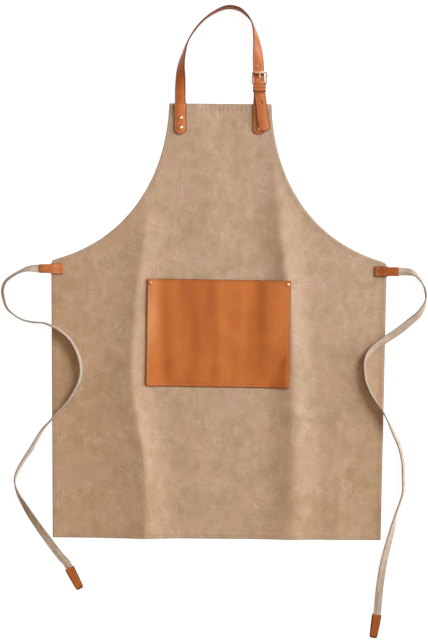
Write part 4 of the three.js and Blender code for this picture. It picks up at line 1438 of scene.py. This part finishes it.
@dataclass(frozen=True)
class NeckStrap:
    """The long strap from the left tab round the neck, through the buckle to its free end.

    Each row gives x, y, roll and rest. Each place of painted shade gives its y, its reach and how dark it is.
    """

    rows: Rows = (
        (-77.2, 269.5, 0, TAB_REST / MM), (-77.6, 305, 0, TAB_REST / MM), (-77.9, 316, 0, 3.9),
        (-78.2, 328.4, 0, 3.9), (-78.2, 329.2, 2, 3.9), (-78.3, 335, 8, 2.9), (-78.5, 355, 14, 0.4),
        (-78, 378, 28, 0.1), (-77, 400.7, 51, 0.1), (-72.4, 423.8, 71, 0.1), (-65, 447.2, 82, 0.1),
        (-51.2, 470.6, 86, 0.1), (-29, 494.9, 86, 0.1), (0.2, 512.4, 92, 0.1), (17, 515.9, 95, 0.1),
        (34.8, 512, 94, 0.1), (46.2, 503.9, 90, 0.1), (58.5, 489.5, 83, 0.1), (65, 471.6, 73, 0.1),
        (69.4, 448.6, 53, 0.1), (71.9, 425.9, 28, 0.2), (73.2, 405, 6, 1.2), (73.7, BAR_Y / MM, 0, 2.9),
        (74.5, 377.5, 0, 7.6), (75, HINGE[1] / MM, 0, 11.6), (75.4, 360, 0, 10), (75.9, 352.6, 0, 8.4),
        (79.2, 329.4, 0, 7.2), (82.2, 306.1, 0, 7.6), (87.6, 276.5, 0, 7.8),
    )
    tab_rows: int = 4
    end_width: float = 0.022
    tab_round: float = 0.010
    tab_length: float = 0.0592
    tab_swell: float = 1.3
    tab_step: float = 0.0004
    end_round: float = 0.008
    hole: float = 0.0012
    holes: Rows = ((0.0732, 0.4032), (0.0758, 0.3544), (0.0791, 0.3306))
    slot: tuple[float, float] = (0.3725, 0.3790)
    slot_half: float = 0.0014
    darkening: Rows = ((0.3842, 0.0026, 1.0), (0.4470, 0.026, 0.4))

    def build(self, leather: Material) -> None:
        """Carries the strap's section along its rows and cuts its holes and the prong's slot.

        Args:
            leather: The finish.
        """
        width = np.full(len(self.rows), STRAP_WIDTH)
        width[: self.tab_rows], width[-1] = TAB_WIDTH, self.end_width
        steps = tuple(self.tab_length + step for step in (-0.001, -self.tab_step, 0.0, self.tab_step))
        run = laid_run(self.rows, width, STRAP_THICK, 0.0028, (self.tab_round, self.end_round), steps)
        on_tab = 1.0 - smoothstep(run.distance, self.tab_length - self.tab_step, self.tab_length)
        # Painted shade: darker just below the roller, where its shadow falls, and on the right flank beside
        # the neck
        x, y, _ = run.centre.T
        dark = [share * bell(y, place, reach) * (x > 0.0) for place, reach, share in self.darkening]
        line = np.maximum.reduce([bell(run.distance, self.tab_length, self.tab_step), *dark])
        run = replace(run, swell=1.0 + (self.tab_swell - 1.0) * on_tab, line=line)
        piece = make_mesh("neck_strap_leather", run.skin(strap_section(STRAP_THICK, *STRAP_EDGE)), 35.0)
        start, end = self.slot
        cutters = [upright(x, y, self.hole, self.hole) for x, y in self.holes]
        cutters.append(upright(HINGE[0], (start + end) / 2, self.slot_half, (end - start) / 2))
        cut_out(piece, joined(cutters))
        dress(piece, leather, Slot.STRAP_LEATHER, "neck_strap")


@dataclass(frozen=True)
class BuckleStrap:
    """The short strap: riveted to the bib, folded round the buckle's bar and back underneath.

    Each row of its front and of its back gives y, rest and width.
    """

    x: float = 0.0752
    tab_round: float = 0.010
    bar_clearance: float = 0.002
    front: Rows = (
        (0.2705, TAB_REST, TAB_WIDTH), (0.285, TAB_REST, TAB_WIDTH), (0.305, TAB_REST, TAB_WIDTH),
        (0.316, 0.0039, TAB_WIDTH), (0.327, 0.0039, TAB_WIDTH), (0.341, 0.0042, STRAP_WIDTH),
        (0.352, 0.0051, STRAP_WIDTH), (0.358, 0.0063, STRAP_WIDTH), (0.364, 0.0077, STRAP_WIDTH),
    )
    back: Rows = (
        (0.360, 0.002, STRAP_WIDTH), (0.352, 0.002, STRAP_WIDTH),
        (0.345, 0.0012, STRAP_WIDTH), (0.338, 0.0005, STRAP_WIDTH),
    )
    slot_half: float = 0.0022
    slot_clearance: float = 0.001

    def build(self, leather: Material) -> None:
        """Carries the section up the tab, round the bar in a half circle and back.

        Args:
            leather: The finish.
        """
        half = SHORT_STRAP_THICK / 2
        wrap = self.bar_clearance + half
        turn = np.linspace(math.pi / 2, -math.pi / 2, 9)
        bend = stacked(HINGE[1] + wrap * np.cos(turn), HINGE[2] + wrap * np.sin(turn) - half, STRAP_WIDTH)
        y, rest, width = np.vstack([self.front, bend, self.back]).T
        line = smooth_line(stacked(self.x, y, rest + half, width), 12)
        lengths = run_length(line[:, :3])
        even = np.linspace(self.tab_round, lengths[-1], 130)
        distance = np.unique(np.concatenate([END_STEPS * self.tab_round, even]))
        places = at_distances(distance, lengths, line)
        width = rounded_half(places[:, 3] / 2, self.tab_round, distance)
        across = np.broadcast_to(SIDEWAYS, (len(places), 3))
        run = StrapRun(places[:, :3], across, width, distance)
        section = strap_section(SHORT_STRAP_THICK, *STRAP_EDGE)
        piece = make_mesh("buckle_strap_leather", run.skin(section), 35.0)
        cut_out(piece, upright(HINGE[0], HINGE[1], self.slot_half, wrap + half + self.slot_clearance))
        dress(piece, leather, Slot.STRAP_LEATHER, "buckle_strap")


def rounded_loop(half_x: float, half_y: float, radius: float, steps: int) -> tuple[Array, Array]:
    """A rectangle with round corners.

    Args:
        half_x: Half its width.
        half_y: Half its height.
        radius: Radius of its corners.
        steps: Points in a corner.

    Returns:
        Its points and the direction outwards at each.
    """
    turn = (np.arange(4)[:, None] * math.pi / 2 + np.linspace(0.0, math.pi / 2, steps)).ravel()
    outward = stacked(np.cos(turn), np.sin(turn))
    corner = np.repeat(np.array([(1, 1), (-1, 1), (-1, -1), (1, -1)]), steps, axis=0)
    return corner * (np.array([half_x, half_y]) - radius) + radius * outward, outward


def sleeve(length: float, bore: float, radius: float, soft: float, steps: int, corners: int) -> Array:
    """Rings of a round sleeve about X.

    Args:
        length: Its length.
        bore: Radius of its bore.
        radius: Its outer radius.
        soft: Radius of its edges as a share of half its wall.
        steps: Points in an edge.
        corners: Points in a ring.

    Returns:
        Points by ring, corner and axis.
    """
    wall = (radius - bore) / 2
    path, _ = rounded_loop(length / 2, wall, wall * soft, steps)
    away, turn = path[:, 1:] + bore + wall, full_turn(corners)
    return stacked(path[:, :1], away * np.cos(turn), away * np.sin(turn))


@dataclass(frozen=True)
class Buckle:
    """The roller buckle: a wire frame, a sleeve on its far bar and a prong on its hinge bar."""

    width: float = 0.029
    wire: float = 0.0024
    corner: float = 0.0026
    roller: float = 0.0025
    roller_bore: float = 0.0019
    roller_length: float = 0.0194
    prong: float = 0.0011
    prong_gap: float = 0.0003
    eye_bore: float = 0.00195
    eye: float = 0.0031
    eye_width: float = 0.003
    prong_from_hinge: Rows = ((0.0018, 0.0019), (0.0052, 0.0029), (0.010, 0.0048))
    prong_on_roller: Rows = ((-0.0056, 0.0), (0.0, 0.0), (0.0026, -0.0006))

    def tilted(self, local: Array) -> Array:
        """Points of the buckle's own plane, tilted from the hinge bar up to the far bar.

        Args:
            local: Points about the buckle's middle.

        Returns:
            Points in the apron's frame.
        """
        lean = math.atan2(BAR_Z - HINGE[2], BAR_Y - HINGE[1])
        x, y, z = np.moveaxis(local, -1, 0)
        moved = (x, y * math.cos(lean) - z * math.sin(lean), y * math.sin(lean) + z * math.cos(lean))
        return stacked(*moved) + np.array((HINGE[0], (HINGE[1] + BAR_Y) / 2, (HINGE[2] + BAR_Z) / 2))

    def build(self, frame_brass: Material, painted_highlight_brass: Material, prong_brass: Material) -> None:
        """Sweeps the wire round its loop, turns the roller and bends the prong.

        Args:
            frame_brass: The frame's finish.
            painted_highlight_brass: The roller's finish.
            prong_brass: The prong's finish.
        """
        reach = math.hypot(BAR_Y - HINGE[1], BAR_Z - HINGE[2])
        out, up = (wave * self.wire / 2 for wave in squarish(full_turn(16), 3.2))
        path, outward = rounded_loop((self.width - self.wire) / 2, reach / 2, self.corner, 8)
        flat = path[:, None, :] + outward[:, None, :] * out[None, :, None]
        wire = self.tilted(stacked(flat[..., 0], flat[..., 1], up))
        roller = sleeve(self.roller_length, self.roller_bore, self.roller, 0.9, 5, 40)
        roller = self.tilted(roller + np.array([0.0, reach / 2, 0.0]))
        eye = sleeve(self.eye_width, self.eye_bore, self.eye, 0.7, 4, 32) + np.array(HINGE)
        for word, surface, brass in (
            ("frame", tube(wire, True), frame_brass),
            ("roller", tube(roller, True), painted_highlight_brass),
            ("prong", joined([tube(eye, True), self._pin()]), prong_brass),
        ):
            piece = make_mesh(f"brass_buckle_{word}", surface, 40.0)
            dress(piece, brass, Slot.BRASS, f"buckle_{word}")

    def _pin(self) -> Surface:
        """The prong's pin: a round section along its bends that thins to a blunt end.

        Returns:
            The pin.
        """
        rest = BAR_Z + self.roller + self.prong_gap + self.prong
        bends = [(HINGE[0], HINGE[1] + y, HINGE[2] + z) for y, z in self.prong_from_hinge]
        bends += [(HINGE[0], BAR_Y + y, rest + z) for y, z in self.prong_on_roller]
        line = smooth_line(np.array(bends), 10)
        share = run_length(line) / run_length(line)[-1]
        over = np.cross(SIDEWAYS, unit(np.gradient(line, axis=0)))
        thick = self.prong * (1.0 - 0.22 * share) * np.sqrt(1.0 - 0.8 * smoothstep(share, 0.94, 1.0))
        turn = full_turn(16)[None, :, None]
        outward = SIDEWAYS * np.cos(turn) + over[:, None, :] * np.sin(turn)
        return tube(line[:, None, :] + thick[:, None, None] * outward)


@dataclass(frozen=True)
class Keeper:
    """The leather loop below the buckle that holds both straps."""

    x: float = 0.0756
    y: float = 0.3591
    width: float = 0.013
    half_inner: float = 0.0111
    low: float = 0.0004
    high: float = 0.0158
    leather: float = 0.0014
    edge: float = 0.0004
    grooves: Rows = ((0.0, 0.0004), (0.0016, 0.00012))
    corner: float = 0.0019

    def build(self, leather: Material) -> None:
        """Carries the band's section, grooved along its middle, round a rounded rectangle.

        Args:
            leather: The finish.
        """
        half_z = (self.high - self.low - self.leather) / 2
        path, outward = rounded_loop(self.half_inner + self.leather / 2, half_z, self.corner, 8)
        sign, away, height = strap_section(self.leather, self.edge, 0.0, self.grooves)
        along = sign * self.width / 2 + away
        flat = path[:, None, :] + outward[:, None, :] * height[None, :, None]
        across = self.x + flat[..., 0]
        rings = stacked(across, self.y + along, flat[..., 1] + (self.low + self.high) / 2)
        rim = np.where(sign == 0.0, 0.0, 1.0 - smoothstep(np.abs(away), 0.0002, 0.0012))
        groove = 0.5 * bell(along, 0.0, 0.0004) * (height > 0.0)
        lay = stacked(across, along, np.maximum(rim, groove))
        back = np.broadcast_to((height < 0.0).astype(float), across.shape)
        piece = make_mesh("keeper_loop", tube(rings, True, {"lay": lay, "back": back}), 40.0)
        dress(piece, leather, Slot.STRAP_LEATHER, "keeper")


LEFT_TIE: Rows = (
    (-322, 5, 0, 2.5), (-350, 5, 0, 2.5), (-370, 4.6, -46, 0.6), (-385.7, -0.7, -70, 0.2),
    (-401.3, -9.4, -71, 0.2), (-414.6, -20.6, -68, 0.2), (-420.5, -36.4, -66, 0.2),
    (-418.8, -51.9, -68, 0.2), (-411.9, -72.1, -75, 0.2), (-398.3, -85.2, -84, 0.2),
    (-380.3, -95.2, -86, 0.2), (-360.3, -99.5, -86, 0.2), (-340.2, -100.8, -92, 1.6),
    (-326.8, -105.2, -99, 2.7), (-317.8, -109.2, -103, 2.7), (-299.8, -121.3, -104, 1.8),
    (-286.3, -135.6, -102, 1.8), (-276, -153.4, -103, 1.8), (-268.4, -175.7, -104, 1.8),
    (-266.7, -195.7, -104, 1.8), (-270, -213.6, -103, 1.8), (-280.9, -236.1, -101, 1.8),
    (-294.2, -256.2, -98, 1.8), (-311.9, -274.3, -95, 2.6), (-323.8, -289.1, -92, 2.7),
    (-340.6, -308.7, -100, 0.4), (-364.7, -350.2, -112, 0.2), (-378, -370.3, -108, 0.2),
    (-389, -390.6, -100, 0.2), (-393.4, -406.2, -90, 0.2), (-392.1, -419.6, -78, 0.2),
    (-386.3, -435.1, -64, 0.2), (-377.3, -450.9, -48, 0.2), (-363.8, -473.3, -30, 0.2),
    (-343.8, -502.4, -14, 0.2), (-323.7, -529.4, -6, 0.3), (-305.5, -553.3, 0, 0.6),
    (-291.7, -568.2, 0, 1.3), (-286.5, -577.6, 0, 1.4), (-281.8, -586.4, 0, 1.4),
)
RIGHT_TIE: Rows = (
    (322, 5, 0, 2.5), (350, 5, 0, 2.5), (368.1, 4.8, 18, 0.8), (381, 0.8, 55, 0.3),
    (392.3, -11.4, 72, 0.2), (400.8, -29, 86, 0.2), (402.9, -44.8, 84, 0.2), (399.6, -60.4, 64, 0.2),
    (390.8, -76, 40, 0.2), (373.4, -91.9, 16, 0.3), (351.5, -110, 6, 1.3), (324.8, -128, 12, 2.8),
    (302.3, -143.9, 34, 1.8), (289.8, -157.4, 58, 1.8), (284.8, -170.6, 74, 1.8),
    (284.3, -186.4, 77, 1.8), (287.2, -206.4, 77, 1.8), (294.8, -226.4, 79, 1.8),
    (306.1, -246.5, 82, 2.2), (318.5, -264.1, 88, 2.7), (329.1, -282.9, 84, 2.4),
    (341.6, -308.2, 70, 0.3), (354.1, -335.5, 64, 0.2), (360.8, -365.4, 66, 0.2),
    (362, -392.6, 68, 0.2), (361.9, -422.8, 72, 0.2), (356.6, -441.9, 74, 0.2),
    (348.5, -466.5, 70, 0.2), (342.1, -494.1, 46, 0.2), (333, -529.8, 32, 0.2),
    (325.3, -563.1, 18, 0.2), (320.3, -596.1, 8, 0.3), (316.6, -629.1, 0, 0.6), (314.6, -654.5, 0, 1.3),
    (313.4, -663.4, 0, 1.4), (311.9, -673.3, 0, 1.4),
)


@dataclass(frozen=True)
class WaistTie:
    """A waist tie: its leather tab on the hip, the tape along its route and its leather tip.

    Each row of the route gives x, y, roll and rest. Each row of the tab and of the tip gives x,
    half width, lowest and highest height.
    """

    side: Side
    rows: Rows
    length: float
    width: float = 0.0146
    tape: float = 0.0018
    fullness: float = 1.6
    tab_y: float = 0.005
    mouth: float = 0.350
    mouth_z: float = 0.0034
    tab: Rows = (
        (303, 8.6, 2.9, 3.6), (303.4, 9.6, 2.6, 4), (304.5, 10, 2.5, 4.1), (308, 10, 2.5, 4.1),
        (313, 10, 2.5, 4.3), (317, 10, 2.5, 5.2), (321, 10, 2.5, 6.1), (327, 10, 2.5, 6.2),
        (328.3, 9.3, 2.3, 6.2), (329.4, 8.6, 0.8, 6.2), (340, 8.5, 0.7, 6.2), (349, 8.5, 0.7, 6.2),
        (349.8, 8.3, 1, 5.9), (350, 8.1, 1.4, 5.5), (349.7, 7.7, 2.2, 4.6), (320, 7.7, 2.2, 4.6),
    )
    tab_outside: int = 12
    tab_seam: Vector = (0.3062, 0.3245, 0.0066)
    tip: Rows = (
        (46, 4.2, 1.7, 2.9), (45.7, 5.6, 1.1, 3.5), (44.7, 6.7, 0.7, 3.9), (42.5, 7.4, 0.4, 4.2),
        (39, 7.8, 0.3, 4.3), (20, 8.8, 0.2, 4.4), (3, 9.3, 0.2, 4.4), (0.8, 9.4, 0.2, 4.4),
        (0.2, 9.2, 0.4, 4.2), (0, 8.4, 0.8, 3.8), (0.3, 7.7, 1.1, 3.5), (12, 7.7, 1.1, 3.5),
    )

    def build_tape(self, tape: Material, leather: Material) -> None:
        """Args:
            tape: The tape's finish.
            leather: The tip's finish.
        """
        word = self.side.word
        run = laid_run(self.rows, self.width, self.tape, 0.003)
        to_end = np.minimum(run.distance, run.distance[-1] - run.distance)
        run = replace(run, swell=1.0 + (self.fullness - 1.0) * smoothstep(to_end, 0.03, 0.06))
        section = strap_section(self.tape, 0.00085, 0.0, ((0.0022, 0.00025),))
        piece = make_mesh(f"cotton_tie_{word}", run.skin(section), 40.0)
        dress(piece, tape, Slot.WEBBING, f"tie_{word}")
        tip = self._tip(leather)

    def _tip(self, leather: Material) -> Piece:
        """Lofts the tip from its blunt end to its mouth and into its slot, along the tie's end.

        Args:
            leather: The finish.

        Returns:
            The tip.
        """
        table = np.array(self.tip) * MM
        rings = oval_rings(table, 4.0)
        mouth, end = np.array(self.rows)[-2:, :2] * MM
        way = unit(end - mouth)
        x, y, z = np.moveaxis(rings, -1, 0)
        rim = smoothstep(np.abs(y) / table[:, None, 1], 0.62, 0.97)
        values = loft_values(rings, np.maximum(rim, smoothstep(x, 0.041, 0.0457)))
        placed = stacked(mouth[0] + way[0] * x - way[1] * y, mouth[1] + way[1] * x + way[0] * y, z)
        piece = make_mesh(f"leather_tip_{self.side.word}", tube(placed, values=values), 50.0)
        return dress(piece, leather, Slot.STRAP_LEATHER, f"tie_tip_{self.side.word}")

    def build_tab(self, leather: Material, thread: Material) -> None:
        """Lofts the tab from its patch to the sleeve's mouth and back inside, and sews a crossed box.

        Args:
            leather: The tab's finish.
            thread: The stitches' finish.
        """
        word, sign = self.side.word, self.side.value
        table = np.array(self.tab) * MM
        rings = oval_rings(table, 6.0)
        values = loft_values(rings, smoothstep(np.abs(rings[..., 1]) / table[:, None, 1], 0.9, 1.0))
        turn, shift = np.array([sign, sign, 1.0]), np.array([0.0, self.tab_y, 0.0])
        piece = make_mesh(f"leather_tab_{word}", tube(rings * turn + shift, values=values), 50.0)
        dress(piece, leather, Slot.STRAP_LEATHER, f"tie_tab_{word}")
        near, far, half = self.tab_seam
        corners = np.array([(near, -half), (far, -half), (far, half), (near, half)])
        outer = table[: self.tab_outside]
        raised = []
        for first, last in ((0, 1), (1, 2), (2, 3), (3, 0), (0, 2), (3, 1)):
            fine = corners[first] + (corners[last] - corners[first]) * np.linspace(0.0, 1.0, 30)[:, None]
            top = np.interp(fine[:, 0], outer[:, 0], outer[:, 3]) - 0.0002
            raised.append(np.column_stack([fine, top]) * turn + shift)
        surface = Seam(pitch=0.0031, length=0.0023).surface(raised)
        dress(make_mesh(f"tab_stitches_{word}", surface, 60.0), thread, Slot.STRAP_LEATHER)


def rivets(lay: ClothLay, pocket: Pocket) -> list[Rivet]:
    """The rivets of the neck straps and of the pocket, each seated on its leather.

    Args:
        lay: How the canvas lies.
        pocket: The pocket that two of them hold.

    Returns:
        All six rivets.
    """
    seat_gap, pocket_seat_gap, spacing = 0.00045, 0.0009, 0.0183
    small = {"cap": 0.0031, "dome": 0.0013, "stem": 0.0011, "back": 0.0024, "back_thick": 0.0006}
    lower = ((Side.LEFT, -0.0772, 0.2821, STRAP_THICK), (Side.RIGHT, 0.0762, 0.2806, SHORT_STRAP_THICK))
    found = []
    for side, x, y, leather in lower:
        for level, up in (("upper", spacing), ("lower", 0.0)):
            under = float(lay.height(np.array(x), np.array(y + up)))
            name = f"neck_rivet_{side.word}_{level}"
            found.append(Rivet(name, x, y + up, TAB_REST + leather + seat_gap, under - 0.0003))
    across, down = pocket.rivet_inset
    for side in Side:
        flat = np.array([side.value * (pocket.half - across), pocket.top - down])
        seat = float(pocket.underside(*flat)) + pocket.leather + pocket_seat_gap
        x, y = (float(value) for value in pocket.turned(*flat))
        under = float(lay.height(np.array(x), np.array(y)))
        found.append(Rivet(f"pocket_rivet_{side.word}", x, y, seat, under - 0.0006, **small))
    return found


def main() -> None:
    """Builds the camera, the ties and then the rest of the apron, and lights it."""
    logging.basicConfig(level=logging.INFO, format="%(message)s")
    PhotoCamera().build()
    canvas, tape = WaxedCanvas().material(), CottonTape().material()
    pocket_leather, strap_leather = PocketLeather().material(), StrapLeather().material()
    rivet_brass = Brass("polished_brass").material()
    frame_brass = Brass("dulled_brass", "#9C8E78", "#675A49", 0.32).material()
    # Painted highlight: the roller's brass is near white, so that it shows bright
    painted_highlight_brass = Brass("brushed_pale_brass", "#FFEBD6", "#F4D2B2", 0.4).material()
    prong_brass = Brass("rubbed_brass", "#DDB48A", "#B57C50", 0.3).material()
    rubbed_leather = StrapLeather(
        "rubbed_bridle_leather", light="#B05C20", dark="#9E4C16", edge="#4E2A16", gloss=0.2
    ).material()
    # A darker copy of the strap leather, for the right tie's tab and tip
    dark_leather = StrapLeather(
        "darker_bridle_leather", light="#A0501C", dark="#8E4012", edge="#472311", gloss=0.2
    ).material()
    hem_thread = SewingThread("tan_sewing_thread", "#BFA086", "#9A7B60").material()
    pocket_thread = SewingThread("brown_sewing_thread", "#D39062", "#A8602E").material()
    tab_thread = SewingThread("pale_sewing_thread", "#E2B48A", "#BE8A5A").material()
    left_tie = WaistTie(Side.LEFT, LEFT_TIE, 0.83)
    right_tie = WaistTie(Side.RIGHT, RIGHT_TIE, 0.815)
    left_tie.build_tape(tape, rubbed_leather)
    right_tie.build_tape(tape, dark_leather)
    left_tie.build_tab(strap_leather, tab_thread)
    right_tie.build_tab(dark_leather, tab_thread)
    lay = ClothLay()
    pocket = Pocket(lay)
    Panel(lay).build(canvas, hem_thread)
    pocket.build(pocket_leather, pocket_thread)
    NeckStrap().build(strap_leather)
    BuckleStrap().build(strap_leather)
    Buckle().build(frame_brass, painted_highlight_brass, prong_brass)
    Keeper().build(strap_leather)
    for rivet in rivets(lay, pocket):
        rivet.build(rivet_brass)
    Studio().build()


if __name__ == "__main__":
    main()
